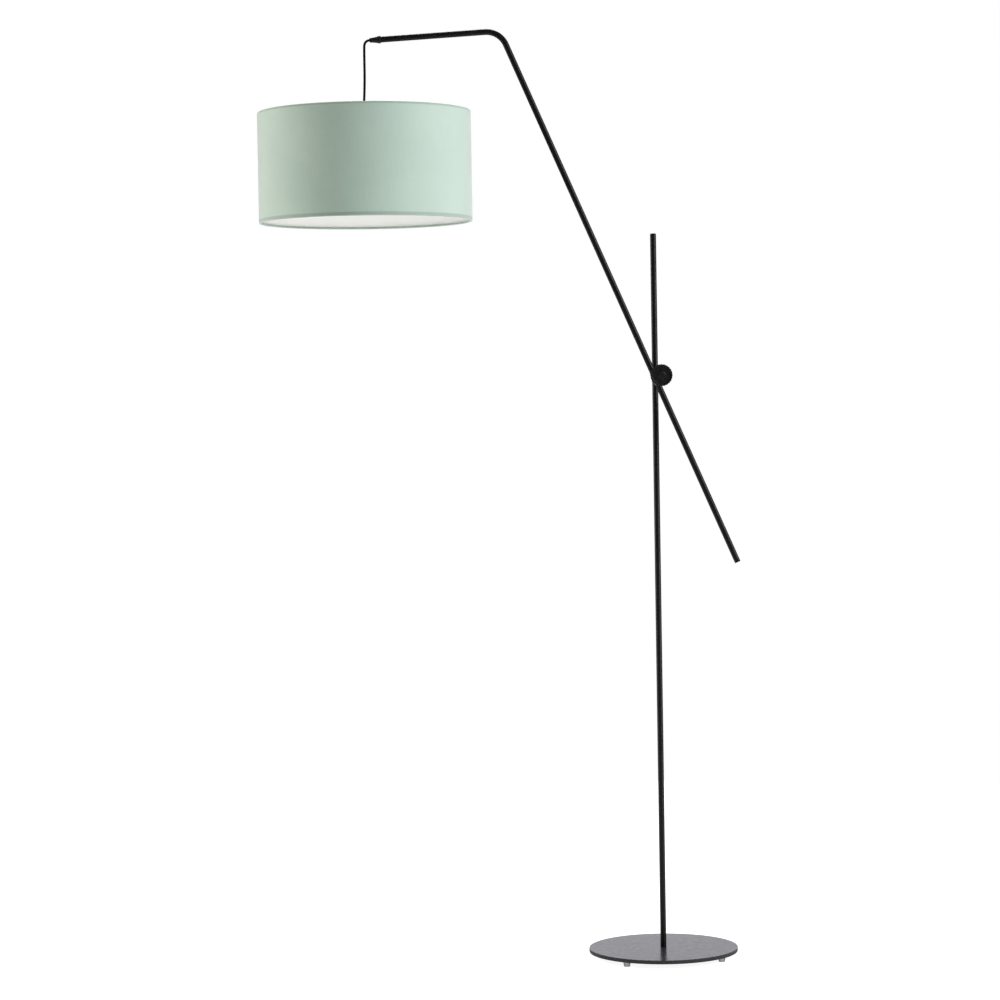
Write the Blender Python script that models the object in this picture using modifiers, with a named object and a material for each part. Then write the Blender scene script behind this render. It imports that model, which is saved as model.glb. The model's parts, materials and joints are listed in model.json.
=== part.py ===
"""Adjustable arm floor lamp.

A straight pole stands on a round plate. A two-part clamp slides and turns on the pole, and holds a
bent arm that tilts about the clamp's bolt and slides through it. A drum shade hangs from the arm's
tip on a short cord. The floor is at z = 0, +X points away from the shade and -Y is the knob's side.
"""
import math

import bmesh
import bpy
from mathutils import Vector

# ---- driving dimensions, metres and radians ----------------------------------------------------
GAP = 0.0003                      # clearance between pieces that rest on each other

FOOT_HEIGHT = 0.0100
FOOT_TOP_RADIUS = 0.0080
FOOT_BOTTOM_RADIUS = 0.0063
FOOT_CIRCLE_RADIUS = 0.144
FOOT_COUNT = 4
FIRST_FOOT_ANGLE = math.radians(-125.2)

PLATE_RADIUS = 0.158
PLATE_THICKNESS = 0.0080
PLATE_EDGE = 0.0006
PLATE_HOLE_RADIUS = 0.0044
COUNTERSINK_RADIUS = 0.0086
COUNTERSINK_DEPTH = 0.0042

TUBE_RADIUS = 0.00635
TUBE_WALL = 0.0012
TUBE_BORE = TUBE_RADIUS - TUBE_WALL
POLE_TOP = 1.5320
PLUG_RADIUS = TUBE_BORE - 0.0002
PLUG_LENGTH = 0.010

PIVOT_HEIGHT = 1.234              # the clamp's bolt above the floor
BOLT_OFFSET = 0.011               # from the pole's axis to the bolt's axis
ARM_OFFSET = 0.013                # from the arm's axis to the bolt's axis
ARM_DEPTH = 0.0222                # the arm's axis in front of the pole's axis
JAW_RADIUS = 0.020
JAW_WALL_DEPTH = 0.0104           # an inner jaw's outer face, from its tube's axis
REAR_JAW_DEPTH = 0.0124
FRONT_JAW_DEPTH = 0.0107
JAW_SPLIT = 0.0004                # half of the slot between the two jaws of a pair
LINER_INNER_RADIUS = TUBE_RADIUS + 0.00015
LINER_OUTER_RADIUS = 0.0071
LINER_LENGTH = 0.028
LINER_SLIT = 0.0016
GROOVE_RADIUS = 0.0073
BOLT_RADIUS = 0.003
BOLT_HOLE_RADIUS = 0.0032
NUT_RADIUS = 0.00577
NUT_HEIGHT = 0.005
NUT_POCKET_DEPTH = 0.0054
FRICTION_WASHER_RADIUS = 0.018
THRUST_WASHER_RADIUS = 0.0095

KNOB_RADIUS = 0.0232
KNOB_BACK = 0.0386                # the knob's disc, in front of the pole's axis
KNOB_FRONT = 0.0517
KNOB_HUB_RADIUS = 0.0095
KNOB_HUB_BACK = 0.0347
KNOB_TEETH = 24
KNOB_TOOTH_DEPTH = 0.0005
KNOB_RECESS_DEPTH = 0.0016
KNOB_RIM_WIDTH = 0.0036
KNOB_RIB_WIDTH = 0.0018
KNOB_RIB_BARS = 3
KNOB_CAP_RADIUS = 0.0070

ARM_LEAN = math.radians(23.3)     # the arm's straight part, from vertical
ARM_TURN = math.radians(69.9)     # the bend between the straight part and the top part
ARM_BEND_RADIUS = 0.045
ARM_LOWER = 0.4240                # from the clamp down to the tube's lower end
ARM_UPPER = 0.7995                # from the clamp up to the corner where the straight lines meet
ARM_TOP = 0.2500                  # from that corner to the tube's tip
RELIEF_LENGTH = 0.0246
RELIEF_MOUTH_RADIUS = 0.0039
CORD_RADIUS = 0.0026
CORD_BORE = 0.0029

# The cord from the strain relief's mouth to the cord grip: across (+X) and up (+Z), metres.
CORD_ROUTE = [
    (0.0000, 0.0000), (-0.0027, -0.0004), (-0.0052, -0.0014), (-0.0074, -0.0030),
    (-0.0091, -0.0051), (-0.0103, -0.0076), (-0.0110, -0.0108), (-0.0113, -0.0148),
    (-0.0114, -0.0205), (-0.0115, -0.0285), (-0.0115, -0.0390), (-0.0115, -0.0520),
    (-0.0115, -0.0670), (-0.0117, -0.0830), (-0.0122, -0.1000), (-0.0130, -0.1180),
    (-0.0137, -0.1310), (-0.0141, -0.1392),
]
CORD_STEPS_PER_POINT = 2

# The pendant, with heights measured down from the top of the cord grip.
GRIP_HEIGHT = 0.0095
SEAL_LOW = 0.0010                  # the seal ring above the grip, clear of both as they swing
SEAL_HIGH = 0.0024
SEAL_INNER_RADIUS = 0.0032
SEAL_OUTER_RADIUS = 0.0042
CAP_TOP = 0.0098
CAP_BOTTOM = 0.0336
HOLDER_RADIUS = 0.0196
HOLDER_BOTTOM = 0.0670
COLLAR_RADIUS = 0.0270
COLLAR_HEIGHT = 0.0050
FITTER_TOP = 0.0400
FITTER_THICKNESS = 0.0032
FITTER_RADIUS = 0.0255
FITTER_HOLE_RADIUS = 0.0206
SHADE_RADIUS = 0.225
SHADE_TOP = 0.0113
SHADE_HEIGHT = 0.2317
SHADE_BOTTOM = SHADE_TOP + SHADE_HEIGHT
COVER_THICKNESS = 0.0007
COVER_LIP = 0.0035
LINING_THICKNESS = 0.0004
WIRE_RADIUS = 0.0014
SPIDER_ARMS = 3
BULB_CAP_RADIUS = 0.0132
BULB_RADIUS = 0.030
BULB_CENTRE = 0.117
BULB_NECK_HEIGHT = 0.0207         # the globe's open neck above its centre
BULB_WALL = 0.0012

ROUND_STEPS = 64                  # facets round the plate and the shade
TUBE_STEPS = 20                   # round the pole and the arm
TURNED_STEPS = 24                 # round the lampholder, the jaws and their like
SMALL_STEPS = 16
SHARP_ANGLE = math.radians(35)


# ---- scene and helper functions ----------------------------------------------------------------
def clear_scene():
    for item in list(bpy.data.objects):
        bpy.data.objects.remove(item, do_unlink=True)


def new_collection(name):
    collection = bpy.data.collections.new(name)
    bpy.context.scene.collection.children.link(collection)
    return collection


clear_scene()
LAMP = new_collection("arm_floor_lamp")
CUTTERS = new_collection("cutters")


def material(name, colour, roughness, metallic=0.0):
    finish = bpy.data.materials.new(name)
    finish.use_nodes = True
    shader = finish.node_tree.nodes["Principled BSDF"]
    shader.inputs["Base Color"].default_value = (*colour, 1.0)
    shader.inputs["Roughness"].default_value = roughness
    shader.inputs["Metallic"].default_value = metallic
    finish.diffuse_color = (*colour, 1.0)
    return finish


BLACK_PAINT = material("black_powder_coat", (0.018, 0.018, 0.020), 0.45)
GREY_PAINT = material("grey_plate_paint", (0.10, 0.10, 0.11), 0.38)
BLACK_PLASTIC = material("black_plastic", (0.020, 0.020, 0.020), 0.50)
NYLON = material("grey_nylon", (0.30, 0.30, 0.30), 0.45)
FIBRE = material("red_fibre", (0.28, 0.09, 0.06), 0.80)
STEEL = material("zinc_plated_steel", (0.62, 0.62, 0.60), 0.32, 1.0)
BRASS = material("brass", (0.70, 0.52, 0.24), 0.30, 1.0)
CERAMIC = material("white_ceramic", (0.82, 0.81, 0.78), 0.30)
CLEAR_RUBBER = material("clear_bumper", (0.75, 0.77, 0.78), 0.15)
CORD_BLACK = material("black_cord", (0.015, 0.015, 0.015), 0.70)
FABRIC = material("mint_fabric", (0.42, 0.55, 0.48), 0.85)
LINING = material("white_lining", (0.86, 0.86, 0.84), 0.60)
WHITE_WIRE = material("white_wire", (0.85, 0.85, 0.83), 0.40)
OPAL = material("opal_glass", (0.92, 0.92, 0.90), 0.25)
BULB_WHITE = material("white_plastic", (0.85, 0.85, 0.84), 0.40)


def place(item, finish, parent, location=(0, 0, 0), rotation=(0, 0, 0)):
    """Puts an object in the lamp's collection, with its finish, under its parent."""
    LAMP.objects.link(item)
    item.data.materials.append(finish)
    item.parent = parent
    item.location = location
    item.rotation_euler = rotation
    return item


def empty(name, parent, location=(0, 0, 0), rotation=(0, 0, 0)):
    item = bpy.data.objects.new(name, None)
    LAMP.objects.link(item)
    item.empty_display_size = 0.03
    item.parent = parent
    item.location = location
    item.rotation_euler = rotation
    return item


def turned_mesh(name, profile, closed):
    """A profile of (radius, height) points in the XZ plane, for a Screw modifier."""
    count = len(profile)
    edges = [(index, index + 1) for index in range(count - 1)]
    if closed:
        edges.append((count - 1, 0))
    mesh = bpy.data.meshes.new(name)
    mesh.from_pydata([(radius, 0, height) for radius, height in profile], edges, [])
    return mesh


def add_screw(item, steps):
    screw = item.modifiers.new("turn", "SCREW")
    screw.axis = "Z"
    screw.steps = steps
    screw.render_steps = steps
    screw.use_merge_vertices = True
    screw.merge_threshold = 0.00001
    return screw


def turned(name, profile, finish, parent, location=(0, 0, 0), rotation=(0, 0, 0),
           steps=TURNED_STEPS, closed=False):
    """A turned piece. Its profile runs down the outer side, top to bottom."""
    item = bpy.data.objects.new(name, turned_mesh(name, profile, closed))
    place(item, finish, parent, location, rotation)
    add_screw(item, steps)
    return item


def ring(name, inner, outer, low, high, finish, parent, steps=TURNED_STEPS, **where):
    """A flat ring or a straight tube between two radii and two heights."""
    profile = [(outer, high), (outer, low), (inner, low), (inner, high)]
    return turned(name, profile, finish, parent, steps=steps, closed=True, **where)


def cylinder_mesh(name, radius, low, high, steps):
    mesh = bpy.data.meshes.new(name)
    shape = bmesh.new()
    bmesh.ops.create_cone(shape, cap_ends=True, segments=steps, radius1=radius,
                          radius2=radius, depth=high - low)
    bmesh.ops.translate(shape, vec=(0, 0, (low + high) / 2), verts=shape.verts)
    shape.to_mesh(mesh)
    shape.free()
    mesh.shade_smooth()
    mesh.set_sharp_from_angle(angle=SHARP_ANGLE)
    return mesh


def cylinder(name, radius, low, high, finish, parent, steps=TURNED_STEPS, **where):
    item = bpy.data.objects.new(name, cylinder_mesh(name, radius, low, high, steps))
    return place(item, finish, parent, **where)


def add_bevel(item, width, segments=1):
    bevel = item.modifiers.new("soft_edges", "BEVEL")
    bevel.width = width
    bevel.segments = segments
    bevel.limit_method = "ANGLE"
    bevel.angle_limit = SHARP_ANGLE


def guide(name, mesh, parent, location=(0, 0, 0), rotation=(0, 0, 0)):
    """A hidden object that only cuts or joins others."""
    item = bpy.data.objects.new(name, mesh)
    CUTTERS.objects.link(item)
    item.parent = parent
    item.location = location
    item.rotation_euler = rotation
    item.hide_render = True
    item.display_type = "WIRE"
    return item


def add_boolean(item, other, operation="DIFFERENCE"):
    boolean = item.modifiers.new(operation.lower() + "_" + other.name, "BOOLEAN")
    boolean.object = other
    boolean.operation = operation
    boolean.solver = "EXACT"


def box_mesh(name, size):
    mesh = bpy.data.meshes.new(name)
    shape = bmesh.new()
    bmesh.ops.create_cube(shape, size=1.0)
    bmesh.ops.scale(shape, vec=size, verts=shape.verts)
    shape.to_mesh(mesh)
    shape.free()
    return mesh


def curve_object(name, points, radius, resolution, caps):
    """A round rod along a list of points, as a curve object outside any collection."""
    curve = bpy.data.curves.new(name, "CURVE")
    curve.dimensions = "3D"
    curve.bevel_depth = radius
    curve.bevel_resolution = resolution
    curve.use_fill_caps = caps
    spline = curve.splines.new("POLY")
    spline.points.add(len(points) - 1)
    for point, place_on_path in zip(spline.points, points):
        point.co = (*place_on_path, 1.0)
    return bpy.data.objects.new(name, curve)


def curve_mesh(name, points, radius, resolution, caps):
    """The mesh of such a rod, with its caps welded on."""
    item = curve_object(name + "_path", points, radius, resolution, caps)
    CUTTERS.objects.link(item)
    bpy.context.view_layer.update()
    graph = bpy.context.evaluated_depsgraph_get()
    mesh = bpy.data.meshes.new_from_object(item.evaluated_get(graph))
    bpy.data.objects.remove(item, do_unlink=True)
    mesh.name = name
    shape = bmesh.new()
    shape.from_mesh(mesh)
    bmesh.ops.remove_doubles(shape, verts=shape.verts, dist=0.00001)
    shape.to_mesh(mesh)
    shape.free()
    mesh.shade_smooth()
    mesh.set_sharp_from_angle(angle=SHARP_ANGLE)
    return mesh


def circle_profile(centre_radius, centre_height, radius, sides):
    """A closed round profile for a torus, running down its outer side."""
    angles = [-math.tau * index / sides for index in range(sides)]
    return [(centre_radius + radius * math.cos(a), centre_height + radius * math.sin(a))
            for a in angles]


def smooth_path(points, steps):
    """A Catmull-Rom curve through the points, as a denser list of points."""
    ends = [points[0] * 2 - points[1], *points, points[-1] * 2 - points[-2]]
    path = []
    for before, start, end, after in zip(ends, ends[1:], ends[2:], ends[3:]):
        for step in range(steps):
            t = step / steps
            path.append(0.5 * (2 * start + (end - before) * t
                               + (2 * before - 5 * start + 4 * end - after) * t ** 2
                               + (3 * start - before - 3 * end + after) * t ** 3))
    path.append(points[-1].copy())
    return path


# ---- places worked out from the dimensions -----------------------------------------------------
def arm_to_stand(across, along):
    """A point in the arm's plane, across and along its straight part from the bolt."""
    return Vector((BOLT_OFFSET + across * math.cos(ARM_LEAN) - along * math.sin(ARM_LEAN),
                   -ARM_DEPTH,
                   PIVOT_HEIGHT + across * math.sin(ARM_LEAN) + along * math.cos(ARM_LEAN)))


TOP_LENGTH = ARM_TOP + RELIEF_LENGTH
CORD_START = arm_to_stand(-ARM_OFFSET - TOP_LENGTH * math.sin(ARM_TURN),
                          ARM_UPPER + TOP_LENGTH * math.cos(ARM_TURN))
GRIP_TOP = CORD_START + Vector((CORD_ROUTE[-1][0], 0, CORD_ROUTE[-1][1]))
ARM_END = arm_to_stand(-ARM_OFFSET + TUBE_RADIUS, -ARM_LOWER)
PLATE_BOTTOM = FOOT_HEIGHT + GAP
PLATE_TOP = PLATE_BOTTOM + PLATE_THICKNESS
POLE_BOTTOM = PLATE_TOP + GAP

# The origin is on the floor under the middle of the lamp's overall box.
BOX_LEFT = GRIP_TOP.x - SHADE_RADIUS
BOX_RIGHT = ARM_END.x
STAND_X = -(BOX_LEFT + BOX_RIGHT) / 2
STAND_Y = ARM_DEPTH

# Frames. The bolt's frame has its z along the bolt, towards the knob, and its y straight up. The
# tilt frame is the same, turned so that its y runs along the arm.
stand = empty("stand_frame", None, (STAND_X, STAND_Y, 0))
clamp_frame = empty("clamp_frame", stand, (0, 0, PIVOT_HEIGHT))
bolt_frame = empty("bolt_frame", clamp_frame, (BOLT_OFFSET, 0, 0), (math.pi / 2, 0, 0))
tilt_frame = empty("tilt_frame", bolt_frame, (0, 0, 0), (0, 0, ARM_LEAN))
arm_frame = empty("arm_frame", tilt_frame, (-ARM_OFFSET, 0, ARM_DEPTH))
pendant_frame = empty("pendant_frame", stand, GRIP_TOP)


# ---- base and pole -----------------------------------------------------------------------------
def build_base():
    low, high = PLATE_BOTTOM, PLATE_TOP
    plate = [(PLATE_RADIUS - PLATE_EDGE, high), (PLATE_RADIUS, high - PLATE_EDGE),
             (PLATE_RADIUS, low + PLATE_EDGE), (PLATE_RADIUS - PLATE_EDGE, low),
             (COUNTERSINK_RADIUS, low), (PLATE_HOLE_RADIUS, low + COUNTERSINK_DEPTH),
             (PLATE_HOLE_RADIUS, high)]
    turned("base_plate", plate, GREY_PAINT, stand, steps=ROUND_STEPS, closed=True)

    foot = [(0, FOOT_HEIGHT), (FOOT_TOP_RADIUS, FOOT_HEIGHT),
            (FOOT_TOP_RADIUS, FOOT_HEIGHT - 0.0008), (FOOT_BOTTOM_RADIUS, 0.0006),
            (FOOT_BOTTOM_RADIUS - 0.0006, 0), (0, 0)]
    for index in range(FOOT_COUNT):
        angle = FIRST_FOOT_ANGLE + math.tau * index / FOOT_COUNT
        spot = (FOOT_CIRCLE_RADIUS * math.cos(angle), FOOT_CIRCLE_RADIUS * math.sin(angle), 0)
        turned(f"base_foot_{index + 1}", foot, CLEAR_RUBBER, stand, spot, steps=SMALL_STEPS)

    head_radius = COUNTERSINK_RADIUS - 0.0005
    shank_radius = PLATE_HOLE_RADIUS - 0.0004
    shank_top = POLE_BOTTOM + 0.022
    screw = [(0, shank_top), (shank_radius - 0.0006, shank_top),
             (shank_radius, shank_top - 0.0006), (shank_radius, low + COUNTERSINK_DEPTH),
             (head_radius, low + 0.0004), (head_radius, low), (0, low)]
    bolt = turned("base_bolt", screw, STEEL, stand, steps=SMALL_STEPS)
    socket = cylinder_mesh("socket", 0.0029, -0.001, 0.003, 6)
    add_boolean(bolt, guide("bolt_socket", socket, stand, (0, 0, low)))

    ring("pole_threaded_plug", shank_radius + 0.0002, PLUG_RADIUS, POLE_BOTTOM + 0.0005,
         POLE_BOTTOM + 0.026, STEEL, stand, steps=SMALL_STEPS)
    ring("pole_tube", TUBE_BORE, TUBE_RADIUS, POLE_BOTTOM, POLE_TOP, BLACK_PAINT, stand,
         steps=TUBE_STEPS)
    cap = [(0, 0.0026), (0.0042, 0.0025), (0.0058, 0.0018), (TUBE_RADIUS, 0.0009),
           (TUBE_RADIUS, GAP), (PLUG_RADIUS, GAP), (PLUG_RADIUS, -PLUG_LENGTH),
           (0, -PLUG_LENGTH)]
    turned("pole_end_cap", cap, BLACK_PLASTIC, stand, (0, 0, POLE_TOP), steps=TUBE_STEPS)


# ---- clamp -------------------------------------------------------------------------------------
def along_y_cutter(name, radius, parent, location):
    """A long cylinder along its parent's y axis."""
    mesh = cylinder_mesh(name, radius, -0.03, 0.03, TUBE_STEPS)
    return guide(name, mesh, parent, location, (math.pi / 2, 0, 0))


def build_jaw(name, parent, low, high, groove_offset, groove_depth):
    """A disc between two depths, with a groove for its tube and a hole for the bolt."""
    jaw = cylinder(name, JAW_RADIUS, low, high, BLACK_PAINT, parent, steps=32)
    add_bevel(jaw, 0.0007)
    groove = along_y_cutter(name + "_groove", GROOVE_RADIUS, parent,
                            (-groove_offset, 0, groove_depth))
    hole_mesh = cylinder_mesh(name + "_hole", BOLT_HOLE_RADIUS, low - 0.002, high + 0.002,
                              SMALL_STEPS)
    add_boolean(jaw, groove)
    add_boolean(jaw, guide(name + "_bolt_hole", hole_mesh, parent))
    return jaw


def build_liner(name, parent, location, rotation, slit_side):
    """A thin split sleeve round a tube, with its slit on one side."""
    half = LINER_LENGTH / 2
    liner = ring(name, LINER_INNER_RADIUS, LINER_OUTER_RADIUS, -half, half, NYLON, parent,
                 steps=TUBE_STEPS, location=location, rotation=rotation)
    slit = box_mesh(name + "_slit", (0.004, LINER_SLIT, LINER_LENGTH * 1.2))
    middle = (LINER_INNER_RADIUS + LINER_OUTER_RADIUS) / 2
    add_boolean(liner, guide(name + "_slit", slit, liner, (slit_side * middle, 0, 0)))


def build_clamp():
    rear = build_jaw("pole_jaw_rear", bolt_frame, -REAR_JAW_DEPTH, -JAW_SPLIT, BOLT_OFFSET, 0)
    pocket = cylinder_mesh("nut_pocket", NUT_RADIUS + 0.0002,
                           -REAR_JAW_DEPTH - 0.002, -REAR_JAW_DEPTH + NUT_POCKET_DEPTH, 6)
    add_boolean(rear, guide("nut_pocket", pocket, bolt_frame))
    nut_low = -REAR_JAW_DEPTH + 0.0001
    nut = cylinder("clamp_nut", NUT_RADIUS, nut_low, nut_low + NUT_HEIGHT, STEEL, bolt_frame,
                   steps=6)
    nut_hole = cylinder_mesh("nut_hole", BOLT_RADIUS + 0.0001, -0.02, 0.0, SMALL_STEPS)
    add_boolean(nut, guide("nut_hole", nut_hole, bolt_frame))

    build_jaw("pole_jaw_front", bolt_frame, JAW_SPLIT, JAW_WALL_DEPTH, BOLT_OFFSET, 0)
    ring("friction_washer", BOLT_HOLE_RADIUS, FRICTION_WASHER_RADIUS, JAW_WALL_DEPTH + GAP,
         ARM_DEPTH - JAW_WALL_DEPTH - GAP, FIBRE, bolt_frame)
    build_jaw("arm_jaw_rear", tilt_frame, ARM_DEPTH - JAW_WALL_DEPTH, ARM_DEPTH - JAW_SPLIT,
              ARM_OFFSET, ARM_DEPTH)
    jaw_front = ARM_DEPTH + FRONT_JAW_DEPTH
    build_jaw("arm_jaw_front", tilt_frame, ARM_DEPTH + JAW_SPLIT, jaw_front, ARM_OFFSET,
              ARM_DEPTH)

    build_liner("pole_liner", clamp_frame, (0, 0, 0), (0, 0, 0), -1)
    build_liner("arm_liner", arm_frame, (0, 0, 0), (-math.pi / 2, 0, 0), -1)
    ring("thrust_washer", BOLT_HOLE_RADIUS, THRUST_WASHER_RADIUS, jaw_front + GAP,
         KNOB_HUB_BACK - GAP, STEEL, bolt_frame)


# ---- knob --------------------------------------------------------------------------------------
def knurl(mesh):
    """Turns a cylinder's round side into teeth, by moving its points in and out."""
    for vertex in mesh.vertices:
        angle = math.atan2(vertex.co.y, vertex.co.x)
        radius = math.hypot(vertex.co.x, vertex.co.y)
        depth = KNOB_TOOTH_DEPTH * (0.5 - 0.5 * math.cos(KNOB_TEETH * angle))
        scale = (radius - depth) / radius
        vertex.co.x *= scale
        vertex.co.y *= scale


def build_knob():
    disc = cylinder("clamp_knob", KNOB_RADIUS, KNOB_BACK, KNOB_FRONT, BLACK_PLASTIC, bolt_frame,
                    steps=KNOB_TEETH * 2)
    knurl(disc.data)
    add_bevel(disc, 0.0009)

    hub = cylinder_mesh("knob_hub", KNOB_HUB_RADIUS, KNOB_HUB_BACK, KNOB_BACK + 0.002,
                        TURNED_STEPS)
    add_boolean(disc, guide("knob_hub", hub, bolt_frame), "UNION")

    recess_outer = KNOB_RADIUS - KNOB_RIM_WIDTH
    recess_inner = KNOB_CAP_RADIUS + 0.0016
    floor = KNOB_FRONT - KNOB_RECESS_DEPTH
    recess = [(recess_outer, KNOB_FRONT + 0.002), (recess_outer - 0.0006, floor),
              (recess_inner + 0.0004, floor), (recess_inner, KNOB_FRONT + 0.002)]
    recess_guide = guide("knob_recess", turned_mesh("knob_recess", recess, True), bolt_frame)
    add_screw(recess_guide, TURNED_STEPS)
    add_boolean(disc, recess_guide)
    bar_height = KNOB_RECESS_DEPTH + 0.0008
    for index in range(KNOB_RIB_BARS):
        bar = box_mesh(f"knob_rib_{index}", (recess_outer * 2 + 0.002, KNOB_RIB_WIDTH, bar_height))
        middle = KNOB_FRONT - 0.0004 - bar_height / 2
        rib = guide(f"knob_rib_{index}", bar, bolt_frame, (0, 0, middle),
                    (0, 0, math.pi / 2 + math.pi * index / KNOB_RIB_BARS))
        add_boolean(disc, rib, "UNION")

    pocket = cylinder_mesh("cap_pocket", KNOB_CAP_RADIUS + 0.0002, KNOB_FRONT - 0.003,
                           KNOB_FRONT + 0.002, TURNED_STEPS)
    add_boolean(disc, guide("cap_pocket", pocket, bolt_frame))
    stud_hole = cylinder_mesh("stud_hole", BOLT_RADIUS + 0.0001, KNOB_HUB_BACK - 0.002,
                              KNOB_FRONT - 0.0045, SMALL_STEPS)
    add_boolean(disc, guide("stud_hole", stud_hole, bolt_frame))

    low, high = KNOB_FRONT - 0.0027, KNOB_FRONT + 0.0004
    cap = [(0, high), (KNOB_CAP_RADIUS - 0.0009, high), (KNOB_CAP_RADIUS, high - 0.0008),
           (KNOB_CAP_RADIUS, low), (0, low)]
    turned("knob_cap", cap, BLACK_PLASTIC, bolt_frame)

    stud_back, stud_front = -REAR_JAW_DEPTH + 0.0004, KNOB_FRONT - 0.0048
    stud = [(0, stud_front), (BOLT_RADIUS, stud_front), (BOLT_RADIUS, stud_back + 0.0006),
            (BOLT_RADIUS - 0.0006, stud_back), (0, stud_back)]
    turned("clamp_bolt", stud, STEEL, bolt_frame, steps=SMALL_STEPS)


# ---- arm ---------------------------------------------------------------------------------------
def arm_path():
    """The arm's centre line in its own frame: straight, round bend, straight."""
    setback = ARM_BEND_RADIUS * math.tan(ARM_TURN / 2)
    bend_steps = 9
    points = [Vector((0, -ARM_LOWER, 0)), Vector((0, 0, 0))]
    for index in range(bend_steps + 1):
        angle = ARM_TURN * index / bend_steps
        points.append(Vector((-ARM_BEND_RADIUS * (1 - math.cos(angle)),
                              ARM_UPPER - setback + ARM_BEND_RADIUS * math.sin(angle), 0)))
    points.append(Vector((-ARM_TOP * math.sin(ARM_TURN),
                          ARM_UPPER + ARM_TOP * math.cos(ARM_TURN), 0)))
    return points


def build_arm():
    mesh = curve_mesh("arm_tube", arm_path(), TUBE_RADIUS, 8, False)
    tube = place(bpy.data.objects.new("arm_tube", mesh), BLACK_PAINT, arm_frame)
    wall = tube.modifiers.new("wall", "SOLIDIFY")
    wall.thickness = TUBE_WALL
    wall.offset = -1

    bush = [(0.0056, 0.0026), (TUBE_RADIUS, 0.0018), (TUBE_RADIUS, GAP), (PLUG_RADIUS, GAP),
            (PLUG_RADIUS, -PLUG_LENGTH), (0.0032, -PLUG_LENGTH), (0.0032, 0.0016),
            (0.0038, 0.0026)]
    turned("arm_cable_bush", bush, BLACK_PLASTIC, arm_frame, (0, -ARM_LOWER, 0),
           (math.pi / 2, 0, 0), steps=TUBE_STEPS, closed=True)

    end = RELIEF_LENGTH
    relief = [(0.0044, end), (0.0048, end - 0.0008), (0.0055, end - 0.0080), (0.0066, 0.0095),
              (0.0078, 0.0048), (0.0080, 0.0034), (0.0077, 0.0010), (0.0068, GAP),
              (PLUG_RADIUS, GAP), (PLUG_RADIUS, -0.012), (CORD_BORE, -0.012),
              (CORD_BORE, end - 0.0036), (0.0033, end - 0.0014), (RELIEF_MOUTH_RADIUS, end)]
    tip = (-ARM_TOP * math.sin(ARM_TURN), ARM_UPPER + ARM_TOP * math.cos(ARM_TURN), 0)
    turned("cord_strain_relief", relief, BLACK_PLASTIC, arm_frame, tip,
           (-math.pi / 2, 0, ARM_TURN), steps=TUBE_STEPS, closed=True)


# ---- pendant -----------------------------------------------------------------------------------
def build_cord():
    route = [Vector((across, 0, up)) for across, up in CORD_ROUTE]
    path = smooth_path(route, CORD_STEPS_PER_POINT)
    path[0] = path[0] + (path[1] - path[0]).normalized() * GAP
    path[-1] = path[-1] + Vector((0, 0, GAP))
    cord = curve_object("pendant_cord", path, CORD_RADIUS, 2, True)
    place(cord, CORD_BLACK, stand, CORD_START)


def build_lampholder():
    grip = [(0.0044, 0), (0.0052, -0.0008), (0.0060, -0.0040), (0.0062, -GRIP_HEIGHT),
            (0.0045, -GRIP_HEIGHT), (0.0045, -0.0155), (CORD_BORE, -0.0155),
            (CORD_BORE, -0.0032), (0.0037, 0)]
    turned("cord_grip", grip, BLACK_PLASTIC, pendant_frame, steps=SMALL_STEPS, closed=True)

    ring("cord_seal_ring", SEAL_INNER_RADIUS, SEAL_OUTER_RADIUS, SEAL_LOW, SEAL_HIGH,
         BLACK_PLASTIC, pendant_frame, steps=SMALL_STEPS)

    cap = [(0.0090, -CAP_TOP), (0.0135, -0.0113), (0.0176, -0.0158), (0.0193, -0.0225),
           (HOLDER_RADIUS, -CAP_BOTTOM), (0.0178, -CAP_BOTTOM), (0.0176, -0.0230),
           (0.0160, -0.0172), (0.0125, -0.0134), (0.0090, -0.0120), (0.0047, -0.0120),
           (0.0047, -CAP_TOP)]
    turned("lampholder_cap", cap, BLACK_PLASTIC, pendant_frame, closed=True)

    top = CAP_BOTTOM + GAP
    body = [(0, -top), (HOLDER_RADIUS, -top), (HOLDER_RADIUS, -HOLDER_BOTTOM + 0.0010),
            (HOLDER_RADIUS - 0.0010, -HOLDER_BOTTOM), (0.0152, -HOLDER_BOTTOM),
            (0.0150, -0.0385), (0, -0.0385)]
    turned("lampholder_body", body, BLACK_PLASTIC, pendant_frame)

    turned("contact_insulator", [(0, -0.0388), (0.0145, -0.0388), (0.0145, -0.0415),
                                 (0, -0.0415)], CERAMIC, pendant_frame)
    turned("centre_contact", [(0, -0.0418), (0.0036, -0.0418), (0.0030, -0.0444),
                              (0, -0.0444)], BRASS, pendant_frame, steps=12)
    ring("screw_shell", 0.0137, 0.0142, -0.0650, -0.0418, BRASS, pendant_frame)

    collar_in = HOLDER_RADIUS + 0.0003
    for name, high in (("shade_collar_upper", -FITTER_TOP + GAP + COLLAR_HEIGHT),
                       ("shade_collar_lower", -FITTER_TOP - FITTER_THICKNESS - GAP)):
        edge = 0.0008
        collar = [(COLLAR_RADIUS - edge, high), (COLLAR_RADIUS, high - edge),
                  (COLLAR_RADIUS, high - COLLAR_HEIGHT + edge),
                  (COLLAR_RADIUS - edge, high - COLLAR_HEIGHT), (collar_in, high - COLLAR_HEIGHT),
                  (collar_in, high)]
        turned(name, collar, BLACK_PLASTIC, pendant_frame, closed=True)


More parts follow.
